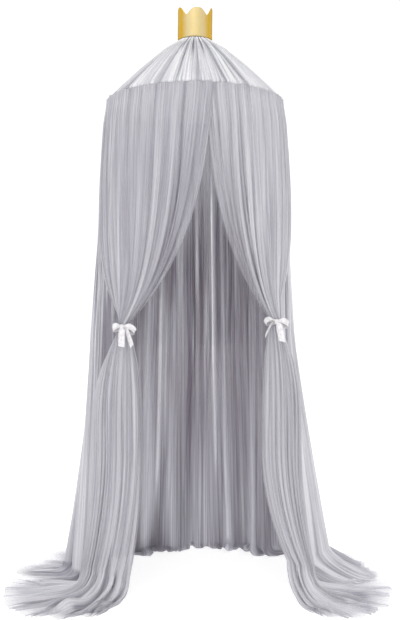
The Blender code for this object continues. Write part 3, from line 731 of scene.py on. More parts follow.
leftDrape = {
    **drape,
    "seed": 11,
    # painted light (over 0) and painted shade (under 0), stage by stage
    "paleAt": (
        (0, -0.06), (0.3, -0.30), (1, -0.28), (2, -0.05), (3, -0.20), (4, -0.05), (4.7, 0.35),
        (6, 0.10),
    ),
    "lines": (  # share, width, first and last stage, height outwards, how much painted light (over 0) or painted shade (under 0)
        (0.50, 0.0040, 2.5, 4.2, -0.003, -0.45),
        (0.565, 0.0035, 2.8, 4.4, -0.003, -0.50),
        (0.64, 0.0030, 2.4, 3.6, -0.002, -0.40),
        (0.70, 0.0040, 2.2, 3.4, 0.002, 0.35),
        (0.36, 0.0030, 2.3, 3.2, -0.002, -0.35),
        (0.27, 0.0035, 2.6, 3.7, -0.002, -0.30),
        (0.15, 0.0030, 2.2, 3.3, -0.002, -0.35),
        (0.985, 0.0120, 2.0, 3.8, 0.0, 0.70),
        (0.06, 0.0060, 3.8, 5.3, -0.006, -1.20),
        (0.17, 0.0090, 3.9, 5.5, -0.010, -1.60),
        (0.185, 0.0060, 3.9, 5.5, 0.006, 0.80),
        (0.31, 0.0080, 3.7, 5.4, -0.010, -1.60),
        (0.325, 0.0060, 3.9, 5.6, 0.006, 0.80),
        (0.43, 0.0090, 4.0, 5.7, -0.010, -1.40),
        (0.445, 0.0060, 4.0, 5.7, 0.006, 0.80),
        (0.55, 0.0080, 3.9, 5.6, -0.008, -1.40),
        (0.68, 0.0090, 4.1, 5.8, -0.008, -1.20),
        (0.82, 0.0080, 4.0, 5.5, -0.006, -1.00),
    ),
    "outward": 1,
    "tie": (-0.228, -0.262, 0.888),  # the bundle's middle, above the floor, and where its middle faces
    "facing": -38,
    # guide lines from hoop to train: degrees on the hoop, how far it laps over the other drape and
    # the back, how it swells and droops on its way to the tie, then its way down to the floor
    "share": (0.00, 0.08, 0.16, 0.32, 0.52, 0.74, 0.88, 1.00),
    "hoopDeg": (11.5, 4.0, -4.0, -19.0, -37.0, -56.0, -69.0, -80.0),
    "lap": (1.0, 1.0, 0.4, 0.0, 0.0, 1.0, 1.0, 1.0),
    "belly": (0.022, 0.020, 0.015, 0.014, 0.015, 0.020, 0.024, 0.026),
    "straight": (0.35, 0.34, 0.31, 0.25, 0.16, 0.07, 0.03, 0.00),
    "droop": (3.5, 3.6, 3.8, 4.4, 5.4, 6.8, 7.6, 8.0),
    "swagX": (-0.172, -0.184, -0.200, -0.238, -0.280, -0.314, -0.330, -0.338),
    "swagY": (-0.205, -0.236, -0.258, -0.272, -0.254, -0.212, -0.174, -0.142),
    "footX": (-0.212, -0.232, -0.252, -0.288, -0.328, -0.360, -0.376, -0.386),
    "footY": (-0.206, -0.222, -0.232, -0.228, -0.196, -0.154, -0.126, -0.102),
    "endX": (-0.292, -0.330, -0.370, -0.448, -0.540, -0.610, -0.638, -0.640),
    "endY": (-0.345, -0.376, -0.390, -0.394, -0.350, -0.240, -0.096, 0.020),
    "knee": (0.064, 0.076, 0.088, 0.102, 0.104, 0.092, 0.070, 0.050),
}
rightDrape = {
    **drape,
    "seed": 7,
    "edgeCover": ((0.22, 0.40), (1.0, 0.09)),
    # painted light (over 0) and painted shade (under 0), stage by stage
    "paleAt": ((0, 0.05), (1, 0.05), (2, 0.0), (3, -0.16), (4, 0.10), (4.7, 0.55), (6, 0.32)),
    # share, width, first and last stage, height outwards, how much painted light (over 0) or painted
    # shade (under 0)
    "lines": (
        (0.20, 0.0080, 2.6, 4.4, 0.003, 0.40),
        (0.26, 0.0030, 2.5, 4.3, -0.003, -0.45),
        (0.40, 0.0030, 2.3, 3.5, -0.002, -0.35),
        (0.55, 0.0035, 2.8, 4.3, -0.003, -0.40),
        (0.66, 0.0030, 2.5, 3.9, -0.002, -0.35),
        (0.09, 0.0080, 3.8, 5.5, -0.008, -1.30),
        (0.21, 0.0090, 4.0, 5.7, -0.010, -1.50),
        (0.225, 0.0060, 3.9, 5.6, 0.006, 0.80),
        (0.35, 0.0080, 3.8, 5.5, -0.009, -1.40),
        (0.48, 0.0090, 4.0, 5.8, -0.010, -1.40),
        (0.495, 0.0060, 4.0, 5.8, 0.006, 0.80),
        (0.62, 0.0080, 3.9, 5.6, -0.008, -1.30),
        (0.77, 0.0090, 4.1, 5.7, -0.008, -1.20),
        (0.92, 0.0600, 2.3, 4.0, 0.0, 0.65),
    ),
    "outward": -1,
    "tie": (0.254, -0.258, 0.904),
    "facing": 42,
    "share": (0.00, 0.08, 0.16, 0.32, 0.52, 0.74, 0.88, 1.00),
    "hoopDeg": (5.0, 11.0, 18.0, 31.0, 47.0, 62.0, 72.0, 81.0),
    "lap": (0.1, 0.1, 0.0, 0.0, 0.0, 1.0, 1.0, 1.0),
    "belly": (-0.006, -0.001, 0.004, 0.014, 0.015, 0.020, 0.024, 0.026),
    "straight": (0.34, 0.34, 0.31, 0.24, 0.15, 0.07, 0.03, 0.00),
    "droop": (3.4, 3.5, 3.7, 4.4, 5.4, 6.8, 7.6, 8.0),
    "swagX": (0.216, 0.224, 0.236, 0.268, 0.304, 0.334, 0.348, 0.354),
    "swagY": (-0.190, -0.216, -0.238, -0.258, -0.246, -0.206, -0.168, -0.136),
    "footX": (0.300, 0.312, 0.325, 0.350, 0.374, 0.390, 0.400, 0.408),
    "footY": (-0.180, -0.196, -0.207, -0.208, -0.184, -0.148, -0.120, -0.096),
    "endX": (0.360, 0.390, 0.422, 0.484, 0.560, 0.628, 0.660, 0.666),
    "endY": (-0.340, -0.372, -0.390, -0.390, -0.346, -0.244, -0.100, 0.020),
    "knee": (0.122, 0.120, 0.117, 0.112, 0.098, 0.080, 0.062, 0.046),
}


def plan(x, y):
    return np.stack([x, y], axis=-1)


def shoulder(drop):
    # the net stands out from the hoop a little way down, before it hangs straight
    fading = softStep((drop - header["puffHold"]) / header["puffLength"])
    return header["puff"] * softStep(drop / header["puffTop"]) * (1 - fading)


def drapeRow(panel, share, stage, size, reach):
    def guide(key):
        return curveThrough(panel["share"], panel[key], share)

    tieX, tieY, tieHeight = panel["tie"]
    side = 1 if tieX > 0 else -1
    turn = np.radians(panel["facing"] + side * panel["bundleSweep"] * (share - 0.5))
    gathered = plan(
        tieX + panel["bundle"] * np.sin(turn), tieY - panel["bundle"] * np.cos(turn)
    )
    top = hoopHeight + header["lift"]
    gripTop, gripFoot = tieHeight + panel["grip"], tieHeight - panel["grip"]
    if stage <= 1:
        fallen = max(stage - headerHeld, 0) / (1 - headerHeld)
        straight = guide("straight")
        drawn = (straight * fallen + (1 - straight) * fallen ** guide("droop"))[:, None]
        belly = math.sin(math.pi * stage ** panel["bellyLow"])
        swelling = guide("belly") * belly + shoulder(stage * (top - gripTop))
        radius = header["radius"] + header["lap"] * guide("lap") + swelling
        hung = around(radius, guide("hoopDeg"), 0.0)[:, :2]
        place = hung + (gathered - hung) * drawn
        height = top + (gripTop - top) * stage + 0 * share
    elif stage <= 2:
        place = gathered
        height = gripTop + (gripFoot - gripTop) * (stage - 1) + 0 * share
    else:
        swagged = plan(guide("swagX"), guide("swagY"))
        foot = plan(guide("footX"), guide("footY"))
        end = plan(guide("endX"), guide("endY"))
        knee = guide("knee")
        outward = unit(end - foot)
        swag = panel["swagHeight"]
        if stage <= 3:
            place = gathered + (swagged - gathered) * (1 - (3 - stage) ** 3)  # opens out fast
            height = gripFoot + (swag - gripFoot) * (stage - 2) + 0 * share
        elif stage <= 4:
            place = swagged + (foot - swagged) * (stage - 3) ** 2
            height = swag + (knee - swag) * (stage - 3)
        else:
            rest = net / 2 + size
            if stage <= 5:
                bend = (stage - 4) * math.pi / 2
                place = foot + outward * (knee * (1 - math.cos(bend)))[:, None]
                height = knee + (rest - knee) * math.sin(bend)
            else:
                start = foot + outward * knee[:, None]
                hem = panel["uneven"] * reach + panel["ragged"] * ripples(hemWaves, share)
                run = (stage - 5) * (1 + hem)
                over, phase = panel["strayWaves"]
                stray = panel["stray"] * (stage - 5) * np.sin(over * share + phase * tieX)
                aside = plan(-outward[:, 1], outward[:, 0])
                aside = aside * np.linalg.norm(end - start, axis=1)[:, None]
                place = start + (end - start) * run[:, None] + aside * stray[:, None]
                height = rest
    return np.concatenate([place, (floorLevel + height)[:, None]], axis=1)


# The back panel. share runs from its left front edge round the back to its right front edge.
# Degrees are from the back towards +X. Stages: fall 0 to 1 and 1 to 2, knee 2 to 3, floor 3 to 4.
backPanel = {
    "columns": 620,
    "folds": 24,
    "seed": 5,
    "outward": 1,
    "calm": 0.13,
    "steepest": 0.28,
    "mainShare": ((0.0, 0.6), (0.9, 0.6), (1.4, 0.4), (1.8, 0.5), (2.2, 0.9), (4.0, 1.0)),
    "mainLean": 0.16,
    "crisp": ((0.0, 0.4), (2.0, 0.4), (2.6, 0.8), (4.0, 0.8)),
    "pleatShare": ((0.0, 1.0), (0.9, 1.0), (1.4, 0.5), (2.2, 0.6), (3.0, 1.0), (4.0, 1.0)),
    "layers": pleatLayers(
        (41, 0.0070, 0.26, 0.22, 0.010, 0.0),
        (83, 0.0034, 0.24, 0.24, 0.006, 0.6),
        (170, 0.0014, 0.20, 0.24, 0.003, 0.7),
    ),
    "flankCover": 0.7,
    "foldTone": 0.10,
    "lines": (  # share, width, first and last stage, height outwards, how much painted light (over 0) or painted shade (under 0)
        (0.576, 0.0032, 0.18, 1.75, -0.0015, 0.90),  # thin folds that stand into the canopy, painted lighter, and out of it, painted darker
        (0.533, 0.0030, 0.35, 0.95, -0.0015, 0.60),
        (0.437, 0.0046, 0.60, 1.90, -0.0015, 1.20),
        (0.554, 0.0030, 0.70, 1.15, -0.001, 0.60),
        (0.450, 0.0026, 0.85, 1.65, -0.006, 0.50),
        (0.405, 0.0026, 0.70, 1.10, -0.004, 0.45),
        (0.540, 0.0030, 1.30, 2.05, -0.004, 0.35),
        (0.545, 0.0050, 0.30, 0.90, 0.004, -0.30),
        (0.586, 0.0036, 0.20, 1.20, 0.003, -0.50),
        (0.495, 0.0040, 0.45, 1.00, 0.004, -0.30),
        (0.480, 0.0024, 0.25, 0.85, -0.002, 0.20),
        (0.415, 0.0026, 1.20, 1.80, -0.005, 0.30),
        (0.640, 0.0026, 0.50, 1.40, -0.004, 0.30),
        (0.605, 0.0022, 0.20, 0.95, -0.001, 0.10),
        (0.512, 0.0240, 0.40, 1.05, 0.000, -0.28),  # broad patches of painted light and painted shade
        (0.460, 0.0200, 0.70, 1.20, 0.000, 0.50),
        (0.435, 0.0450, 0.95, 2.10, 0.000, 0.35),
        (0.650, 0.0400, 0.60, 1.30, 0.000, -0.12),
        (0.690, 0.0500, 1.15, 2.60, 0.000, 0.18),
        (0.505, 0.0300, 1.10, 2.10, 0.000, -0.12),
        (0.060, 0.0400, 0.75, 1.40, 0.000, -0.80),
        (0.430, 0.0260, 1.85, 2.90, 0.000, -0.20),
        (0.140, 0.0600, 0.70, 2.30, 0.000, 0.65),
        (0.870, 0.0650, 0.35, 2.40, 0.000, 0.62),
        (0.870, 0.0650, 2.10, 4.40, 0.000, 0.50),
        (0.380, 0.0200, 0.80, 1.60, 0.000, 0.30),
    ),
    "sheerParts": (  # share, width, first and last stage, how much sheerer
        (0.14, 0.05, 0.7, 2.6, 0.20),
        (0.87, 0.05, 0.6, 4.3, 0.20),
        (0.5765, 0.0030, 0.18, 1.25, 0.72),  # light from behind comes through
        (0.5765, 0.0028, 0.95, 1.75, 0.30),
        (0.533, 0.0028, 0.35, 0.95, 0.45),
        (0.437, 0.0040, 0.70, 1.90, 0.42),
        (0.450, 0.0022, 0.95, 1.60, 0.25),
        (0.554, 0.0022, 0.75, 1.25, 0.25),
    ),
    "footWaves": ((0.016, 5, 1.0), (0.012, 9, 2.6), (0.005, 14, 0.4)),
    "footRolls": (  # share, width, how far inwards
        (0.405, 0.030, 0.050), (0.475, 0.018, 0.024), (0.600, 0.022, 0.030), (0.665, 0.016, 0.024),
    ),
    "rollStage": (2.35, 0.22),
    "wavyFrom": 0.2,  # share from the edges at which the foot is fully wavy
    "coverAt": ((0, 1.0), (1.1, 1.0), (1.7, 1.35), (3.0, 1.35), (4.0, 1.0)),
    "linedAt": ((0, 1.2), (0.9, 1.3), (1.35, 0.6), (2.2, 0.6), (3.0, 1.0), (4.0, 1.0)),
    "sheerAt": ((0, 1.0), (4, 1.0)),
    # painted light (over 0) and painted shade (under 0), stage by stage
    "paleAt": (
        (0.0, 0.55), (0.15, 0.40), (0.35, 0.10), (0.6, -0.20), (1.2, -0.24), (1.9, -0.30), (2.4, -0.38),
        (3.0, -0.20), (3.4, 0.05), (4.0, 0.20),
    ),
    "kneeStage": 2.0,
    "uneven": 0.05,
    "ragged": 0.03,
    "midHeight": 0.870,
    "midBend": 0.85,  # powers of the fall's curve above and below the middle
    "footBend": 1.15,
    "swell": (
        (0.00, 0.0028), (0.03, 0.0028), (0.10, 0.0050), (1.00, 0.0110), (1.80, 0.0140), (2.30, 0.0160),
        (3.00, 0.0080), (4.00, 0.0040),
    ),
    "thick": ((0.0, 0.0007), (4.0, 0.0007)),
    "flat": (1.80, 1.98),
    "edgeCover": ((0.60, 0.03), (0.60, 0.03)),
    "hemCover": 0.30,
    "hemFade": 0.7,
    "share": (0.00, 0.05, 0.11, 0.18, 0.29, 0.38, 0.46, 0.54, 0.62, 0.71, 0.82, 0.89, 0.95, 1.00),
    "topDeg": (-115, -105, -93, -80, -56, -37, -17, 3, 23, 44, 73, 91, 104, 114),
    "midDeg": (-113, -104, -92, -80, -56, -37, -17, 3, 22, 42, 71, 90, 103, 112),
    "midR": (
        0.297, 0.300, 0.338, 0.374, 0.364, 0.346, 0.346, 0.348, 0.348, 0.352, 0.362, 0.334, 0.298, 0.297,
    ),
    "footDeg": (-116, -107, -95, -83, -58, -37, -17, 3, 22, 41, 72, 90, 99, 104),
    "footR": (
        0.316, 0.322, 0.376, 0.436, 0.430, 0.374, 0.372, 0.418, 0.396, 0.404, 0.488, 0.428, 0.366, 0.350,
    ),
    "run": (  # how far the hem lies out from the foot
        0.040, 0.060, 0.205, 0.190, 0.225, 0.300, 0.315, 0.280, 0.300, 0.290, 0.178, 0.182, 0.066, 0.040,
    ),
    "runDeg": (-90, -94, -93, -86, -60, -38, -18, 3, 22, 43, 77, 94, 95, 90),
    "knee": (
        0.022, 0.026, 0.036, 0.046, 0.046, 0.036, 0.036, 0.038, 0.042, 0.048, 0.110, 0.090, 0.032, 0.022,
    ),
    "heap": (0, 0, 0, 0, 0, 0, 0, 0, 0, 0.1, 1.0, 1.0, 0.1, 0),  # 1 where it lies bunched
    "heapReach": 0.145,
    "heapBend": (1.3, 1.4),  # powers of its slope, outwards and down
}


def backRow(panel, share, stage, size, reach):
    def guide(key):
        return curveThrough(panel["share"], panel[key], share)

    def fromBack(radius, degrees):
        return around(radius, 180 - degrees, 0.0)[:, :2]

    top, midHeight, knee = hoopHeight + header["lift"], panel["midHeight"], guide("knee")
    mid = fromBack(guide("midR"), guide("midDeg"))
    wavy = softStep(np.minimum(share, 1 - share) / panel["wavyFrom"])
    waves = wavy * ripples(panel["footWaves"], math.tau * share)
    foot = fromBack(guide("footR") + waves, guide("footDeg"))
    outward = fromBack(1.0, guide("runDeg"))
    heap = np.clip(guide("heap"), 0, 1)
    if stage <= 1:
        hung = fromBack(header["radius"] + 0 * share, guide("topDeg"))
        place = hung + (mid - hung) * stage ** panel["midBend"]
        place = place + unit(place) * shoulder(stage * (top - midHeight))
        height = top + (midHeight - top) * stage + 0 * share
    elif stage <= 2:
        place = mid + (foot - mid) * (stage - 1) ** panel["footBend"]
        height = midHeight + (knee - midHeight) * (stage - 1)
    else:
        rest = net / 2 + size
        heapOut, heapDown = panel["heapBend"]
        if stage <= 3:
            bend = (stage - 2) * math.pi / 2
            out = knee * (1 - math.cos(bend)) * (1 - heap)
            out = out + heap * panel["heapReach"] * (stage - 2) ** heapOut
            down = math.sin(bend) * (1 - heap) + heap * (1 - (3 - stage) ** heapDown)
            place = foot + outward * out[:, None]
            height = knee + (rest - knee) * down
        else:
            hem = panel["uneven"] * reach + panel["ragged"] * ripples(hemWaves, 2 * share)
            out = knee * (1 - heap) + heap * panel["heapReach"]
            place = foot + outward * (out + (guide("run") * (1 + hem) - out) * (stage - 3))[:, None]
            height = rest
    rollAt, rollSpan = panel["rollStage"]
    rolls = sum(
        inwards * np.exp(-(((share - at) / width) ** 2)) for at, width, inwards in panel["footRolls"]
    )
    place = place - outward * (rolls * math.exp(-(((stage - rollAt) / rollSpan) ** 2)))[:, None]
    return np.concatenate([place, (floorLevel + height)[:, None]], axis=1)


# The roof: a pleated cone of sheer net, bunched in a neck inside the crown, its hem turned down
# outside the hoop. Rings are radius and height of the net's middle, fold depth, half thickness.
roof = {
    "columns": 820,
    "rowGap": 0.0080,
    "folds": 26,
    "seed": 17,
    "neckShade": 3.2,  # how much painted shade deepens the hollows where the folds come together
    "neckReach": 0.13,
    "neckCover": 1.1,
    "neckSpread": 1.0,  # how much wider the painted shade lines are there
    "toneMiddle": 0.50,
    "sideCover": (0.55, 0.14),  # how sheer it is at its two sides, and how far round
    "crisp": -1.5,
    # painted light on crests and painted shade in hollows
    "foldTone": 0.50,
    "foldDeep": (0.5, 1.25),
    "foldWidth": (0.75, 1.25),
    "crestAt": (0.43, 0.57),
    "sunk": 0.6,  # how far the folds lie below the crests' line
    "fullDepth": 0.0034,  # fold depth from which the small pleats have all of theirs
    "rings": (
        (0.0000, 1.9140, 0.0000, 0.0105),
        (0.0094, 1.9140, 0.0000, 0.0105),
        (0.0170, 1.9090, 0.0012, 0.0004),
        (0.0533, 1.8807, 0.0014, 0.00035),
        (0.1100, 1.8400, 0.0034, 0.00035),
        (0.1920, 1.7680, 0.0045, 0.00035),
        (0.2620, 1.7010, 0.0038, 0.00035),
        (0.2760, 1.6870, 0.0030, 0.00035),
        (0.2880, 1.6765, 0.0015, 0.00035),
        (0.2938, 1.6700, 0.0006, 0.00035),
        (0.2950, 1.6650, 0.0, 0.00035),
        (header["lipRadius"], 1.6600, 0.0, 0.00035),
        (header["lipRadius"], 1.6440, 0.0, 0.00035),
    ),
    "layers": pleatLayers((60, 0.0040, 0.26, 0.20, 0.004), (130, 0.0014, 0.24, 0.20, 0.002)),
    "lines": (  # turn from the front, width, reach from the neck, depth, how much painted shade (it also makes the net denser)
        (-33, 1.5, 0.16, 0.002, 1.6),
        (-18, 2.0, 0.18, 0.003, 3.4),
        (-3, 1.7, 0.26, 0.003, 3.0),
        (10, 1.7, 0.23, 0.003, 3.0),
        (30, 1.6, 0.20, 0.002, 1.6),
    ),
    "lineStart": 0.06,
    "lineCover": 0.35,
    "flat": (1.95, 0.46),
    "area": 0.50,
}


def roofFolds(count, seed):
    # the solid's own folds, a valley and a crest each, in the solid's order
    chance = random.Random(seed)
    turns, heights, start = [], [], 0.0
    for _ in range(count):
        width = chance.uniform(*roof["foldWidth"])
        deep = chance.uniform(*roof["foldDeep"])
        turns += [start, start + width * chance.uniform(*roof["crestAt"])]
        heights += [-deep, deep]
        start += width
    return np.array([*turns, start]) / start, np.array([*heights, heights[0]])


def makeRoof(finish):
    rings = np.array(roof["rings"])
    lengths = np.concatenate([[0], np.cumsum(np.hypot(*np.diff(rings[:, :2], axis=0).T))])
    corners = np.concatenate([
        np.linspace(low, high, math.ceil((high - low) / roof["rowGap"]), endpoint=False)
        for low, high in zip(lengths, lengths[1:])
    ] + [lengths[-1:]])
    radius, height, depth, half = (np.interp(corners, lengths, line)[:, None] for line in rings.T)
    nominal = np.arange(roof["columns"]) / roof["columns"]
    turn = math.tau * nominal
    points = np.stack(
        [radius * np.cos(turn), radius * np.sin(turn), floorLevel + height + 0 * turn], axis=-1
    )
    normal = -gridFrame(points, ring=True)[2]
    inNeck = corners <= lengths[1] + 1e-6
    normal[inNeck] = (0, 0, 1)
    nearNeck = 1 - softStep(corners / roof["neckReach"])[:, None]

    deepest = roof["foldDeep"][1]
    tone = betweenLines(nominal, *roofFolds(roof["folds"], roof["seed"])) + 0 * depth
    tone = sharpen(tone / deepest, roof["crisp"])
    lift = (tone - roof["sunk"]) * depth * deepest
    taper = np.clip(depth / roof["fullDepth"], 0, 1)
    stretch = math.tau * radius + 0 * turn
    for number, layer in enumerate(roof["layers"]):
        seed = roof["seed"] + 100 * (number + 1)
        height = pleatLayer(layer, seed, nominal, corners, stretch, roof["crisp"], ring=True)[0]
        lift = lift + taper * height
        tone = tone + height / layer["depth"]
    dark = 0 * tone
    for place, width, reach, deep, darkness in roof["lines"]:
        wide = width * (1 + roof["neckSpread"] * nearNeck)
        spread = np.exp(-(((nominal * 360 - 270 - place) / wide) ** 2))  # the front is at 270 degrees
        spread = spread * softStep((roof["lineStart"] + reach - corners) / reach)[:, None]
        lift, dark = lift - deep * taper * spread, dark + darkness * spread
    folded = points + normal * lift[..., None]
    facing = -gridFrame(folded, ring=True)[2]
    facing[inNeck] = (0, 0, 1)
    inner, outer = folded - facing * half[..., None], folded + facing * half[..., None]

    # painted shade: hollows darker, most near the neck and along the crease lines; on each face crests
    # are painted lighter and hollows darker
    tone = tone * (1 + roof["neckShade"] * nearNeck) - dark
    tones = [way * roof["foldTone"] * (tone - roof["toneMiddle"]) for way in (-1, 1)]
    least, reach = roof["sideCover"]
    beside = softStep((1 - np.abs(np.cos(turn))) / reach)
    cover = (least + (1 - least) * beside) * (1 + roof["neckCover"] * nearNeck)
    marks = {"netCover": cover * (1 + roof["lineCover"] * dark), "netLines": 1 + 0 * tone}
    return closedSheet(
        "roofCone", inner, outer, finish, roof["flat"], marks, tones, ring=True, pole=True
    )


# The crown: a band of stiff gold cloth with soft points
crown = {
    "foot": 1.880,
    "radius": 0.0608,
    "wall": 0.0020,
    "rimRound": 0.96,  # 1 is a fully round rim
    "dip": 0.077,  # height between the points
    "point": 0.028,
    "points": 5,
    "turn": 7,  # degrees
    "steps": 72,  # columns a point
    "tipShape": (0.7, 1.5),  # under 1 for wider valleys, over 1 for rounder tips
    "tipHeights": (1.22, 0.42),  # how tall the points are, and how much lower in front
    "rows": 40,
    "wave": 0.0006,  # how far the band bends in and out
}
goldCloth = {
    # light is a painted highlight colour, deep the gold itself, edge a painted dark rim
    "light": (0.62, 0.505, 0.262),
    "deep": (0.60, 0.36, 0.010),
    "edge": (0.30, 0.22, 0.02),
    "fading": (0.48, 0.78),  # shares of the radius over which the painted highlight fades to the sides
    "paintedRimShade": (0.90, 1.0),
    "yarn": 0.0007,
    "grain": (0.0012, 0.03),  # across, along, and detail
    "patches": (0.02, 0.02, 3.0),
    "patchTone": 0.5,
    "weaveTone": 0.15,
    "bumpDepth": 0.0002,
    "metallic": 0.85,
    "roughness": (0.37, 0.53),
}
waveBand = 0.314  # length of one band of a Wave node at scale 1


def goldMaterial():
    made, start = startMaterial("goldCloth")
    cloth = start.node("ShaderNodeUVMap", {"uv_map": "cloth"})
    grain, patches = (streaks(cloth, *goldCloth[key]) for key in ("grain", "patches"))
    weave = [
        start.node(
            "ShaderNodeTexWave",
            {"wave_type": "BANDS", "bands_direction": way},
            {"Vector": cloth, "Scale": waveBand / goldCloth["yarn"], "Distortion": 0.6, "Detail": 1.0},
            1,
        )
        for way in ("X", "Y")
    ]
    woven = weave[0] * weave[1]
    place = start.node("ShaderNodeTexCoord", None, None, 3)
    sideways = abs(start.node("ShaderNodeSeparateXYZ", None, {"Vector": place}))
    fading, paintedRimShade = (
        [crown["radius"] * part for part in goldCloth[key]] for key in ("fading", "paintedRimShade")
    )
    # painted highlight: paler where the band faces front or back, fading to its sides
    paintedHighlight = sideways.ranged(*fading, 1.0, 0.0)
    tone = (patches - 0.5) * goldCloth["patchTone"] + (woven - 0.5) * goldCloth["weaveTone"]
    tone = tone + (grain - 0.5) + paintedHighlight
    colour = tone.mixed(goldCloth["deep"], goldCloth["light"])
    return endMaterial(made, start, {
        # painted shade: a dark rim colour at the band's two sides
        "Base Color": sideways.ranged(*paintedRimShade, 0.0, 1.0).mixed(colour, goldCloth["edge"]),
        "Metallic": goldCloth["metallic"],
        "Roughness": patches.ranged(0.3, 0.7, *goldCloth["roughness"]),
        "Normal": bumped(woven * 0.6 + grain * 0.4, goldCloth["bumpDepth"], 0.6),
    })


def makeCrown(finish):
    columns = crown["points"] * crown["steps"]
    step = np.arange(columns)
    part = np.linspace(0, 1, crown["rows"])[:, None]
    valley, top = crown["tipShape"]
    tip = 1 - (1 - (0.5 + 0.5 * np.cos(math.tau * step / crown["steps"])) ** valley) ** top
    turn = 360 * step / columns + crown["turn"]
    tall, lower = crown["tipHeights"]
    tip = tip * (tall - lower * np.maximum(np.cos(np.radians(turn)), 0) ** 2)
    height = crown["foot"] + part * (crown["dip"] + crown["point"] * tip)
    wave = crown["wave"] * np.sin(np.radians(3 * turn) + 4 * part) * part
    rim = np.minimum(part, 1 - part) * crown["dip"] / crown["wall"]
    half = np.sqrt(1 - (1 - np.clip(rim, 0, 1)) ** 2 * crown["rimRound"]) * crown["wall"] / 2
    middle = crown["radius"] - crown["wall"] / 2 - crown["wave"] + wave
    inner, outer = (around(middle + side * half, turn, height) for side in (-1, 1))
    flat = (math.tau * crown["radius"], crown["dip"] + crown["point"])
    return closedSheet("goldCrown", inner, outer, finish, flat, ring=True), flat


# The hoop: a plain round plastic tube
hoop = {
    "segments": 20,
    "steps": 240,
}


def makeHoop(finish):
    bm = bmesh.new()
    section = bmesh.ops.create_circle(
        bm, segments=hoop["segments"], radius=hoopTube, matrix=Matrix.Rotation(math.pi / 2, 4, "X")
    )["verts"]
    bmesh.ops.translate(bm, verts=section, vec=(hoopRadius, 0, hoopLevel))
    bmesh.ops.spin(
        bm, geom=bm.edges[:], cent=(0, 0, 0), axis=(0, 0, 1), angle=math.tau, steps=hoop["steps"],
        use_merge=True,
    )
    bmesh.ops.remove_doubles(bm, verts=bm.verts[:], dist=1e-6)
    bmesh.ops.recalc_face_normals(bm, faces=bm.faces[:])
    mesh = bpy.data.meshes.new("hoopTube")
    bm.to_mesh(mesh)
    bm.free()
    mesh.shade_smooth()
    mesh.materials.append(finish)
    return addItem("hoopTube", mesh)


whitePlastic = {
    "light": (0.84, 0.84, 0.84),
    "deep": (0.78, 0.78, 0.77),
    "mottle": (60, 3.0),  # to the metre, and detail
    "grain": (900, 2.0),
    "roughness": (0.36, 0.50),
    "bumpDepth": 0.0001,
}


def plasticMaterial():
    made, start = startMaterial("whitePlastic")
    place = start.node("ShaderNodeTexCoord", None, None, 3)
    mottle, grain = (
        start.node("ShaderNodeTexNoise", None, {"Vector": place, "Scale": scale, "Detail": detail})
        for scale, detail in (whitePlastic["mottle"], whitePlastic["grain"])
    )
    colours = whitePlastic["deep"], whitePlastic["light"]
    return endMaterial(made, start, {
        "Base Color": mottle.ranged(0.35, 0.65, 0.0, 1.0).mixed(*colours),
        "Roughness": mottle.ranged(0.3, 0.7, *whitePlastic["roughness"]),
        "Normal": bumped(grain, whitePlastic["bumpDepth"], 0.5),
    })


# The satin ties. Lines run (sideways, forwards, up) from the knot.
ribbon = {
    "width": 0.024,
    "thick": 0.0006,
    "columns": 17,
    "loopSteps": 72,
    "tailSteps": 60,
    "ringSteps": 96,  # round the band and the knot
    "ringRows": 25,
    "loopLine": (
        (0.003, 0.0030, 0.000), (0.011, 0.0070, 0.003), (0.022, 0.0120, 0.003), (0.032, 0.0115, 0.000),
        (0.038, 0.0050, -0.004), (0.033, -0.0010, -0.005), (0.022, -0.0022, -0.003),
        (0.011, -0.0024, -0.001), (0.003, -0.0030, 0.000),
    ),
    "tailLine": (
        (0.002, 0.0015, 0.002), (0.005, 0.0085, -0.010), (0.007, 0.0125, -0.025),
        (0.009, 0.0170, -0.043), (0.011, 0.0215, -0.062),
    ),
    "loopShare": 0.80,  # of the ribbon's width
    "tailShare": 0.86,
    "knot": (0.015, 0.012, 0.017),  # sideways, forwards, up
    "knotStand": 0.0040,
    "bandHeight": 0.016,
    "bandInside": 0.01944,
    "bandWall": 0.0012,
    "bandClear": 0.0004,
    "bandThick": 0.0006,
    "wrapInset": 0.0010,
    "wrapThick": 0.0008,
    "bandCreases": ((0.00025, 22, 0), (0.00015, 51, 1)),
    "knotCreases": ((0.0003, 9, 0), (0.0002, 17, 2)),
    "knotBarrel": 0.0035,
    "loopNarrow": (0.38, 0.26),  # share of the width at the knot, and share of the loop to full width
    "tailNarrow": (0.42, 0.30),
    "pinch": (0.0012, 2.5),  # creases where it narrows, and their half turns to each side
    "loopTilt": 0.25,
    "loopCup": 0.0012,
    "tailCup": 0.0016,
    "turned": 0.20,  # share of the net's own turn that the bow takes
    "flat": (0.024, 0.45),
}
leftBow = {
    "loops": (
        {"way": -1, "stretch": 0.72, "droop": 0.08, "belly": 1.2, "roll": 10},
        {"way": 1, "stretch": 1.16, "droop": 0.38, "belly": 1.2, "roll": 34},
    ),
    "tails": (
        {"way": -1, "stretch": -0.30, "lift": 0.0, "slant": 0.25, "turn": 4, "length": 1.0},
        {"way": 1, "stretch": 3.40, "lift": 0.0, "slant": -0.20, "turn": 40, "length": 0.97},
    ),
}
rightBow = {
    "loops": (
        {"way": -1, "stretch": 1.02, "droop": 0.12, "belly": 1.3, "roll": 52},
        {"way": 1, "stretch": 0.96, "droop": 0.22, "belly": 1.2, "roll": 22},
    ),
    "tails": (
        {"way": -1, "stretch": 3.70, "lift": 0.0, "slant": 0.3, "turn": -62, "length": 0.70},
        {"way": 1, "stretch": 1.20, "lift": 0.0022, "slant": 0.45, "turn": 6, "length": 1.0},
    ),
}
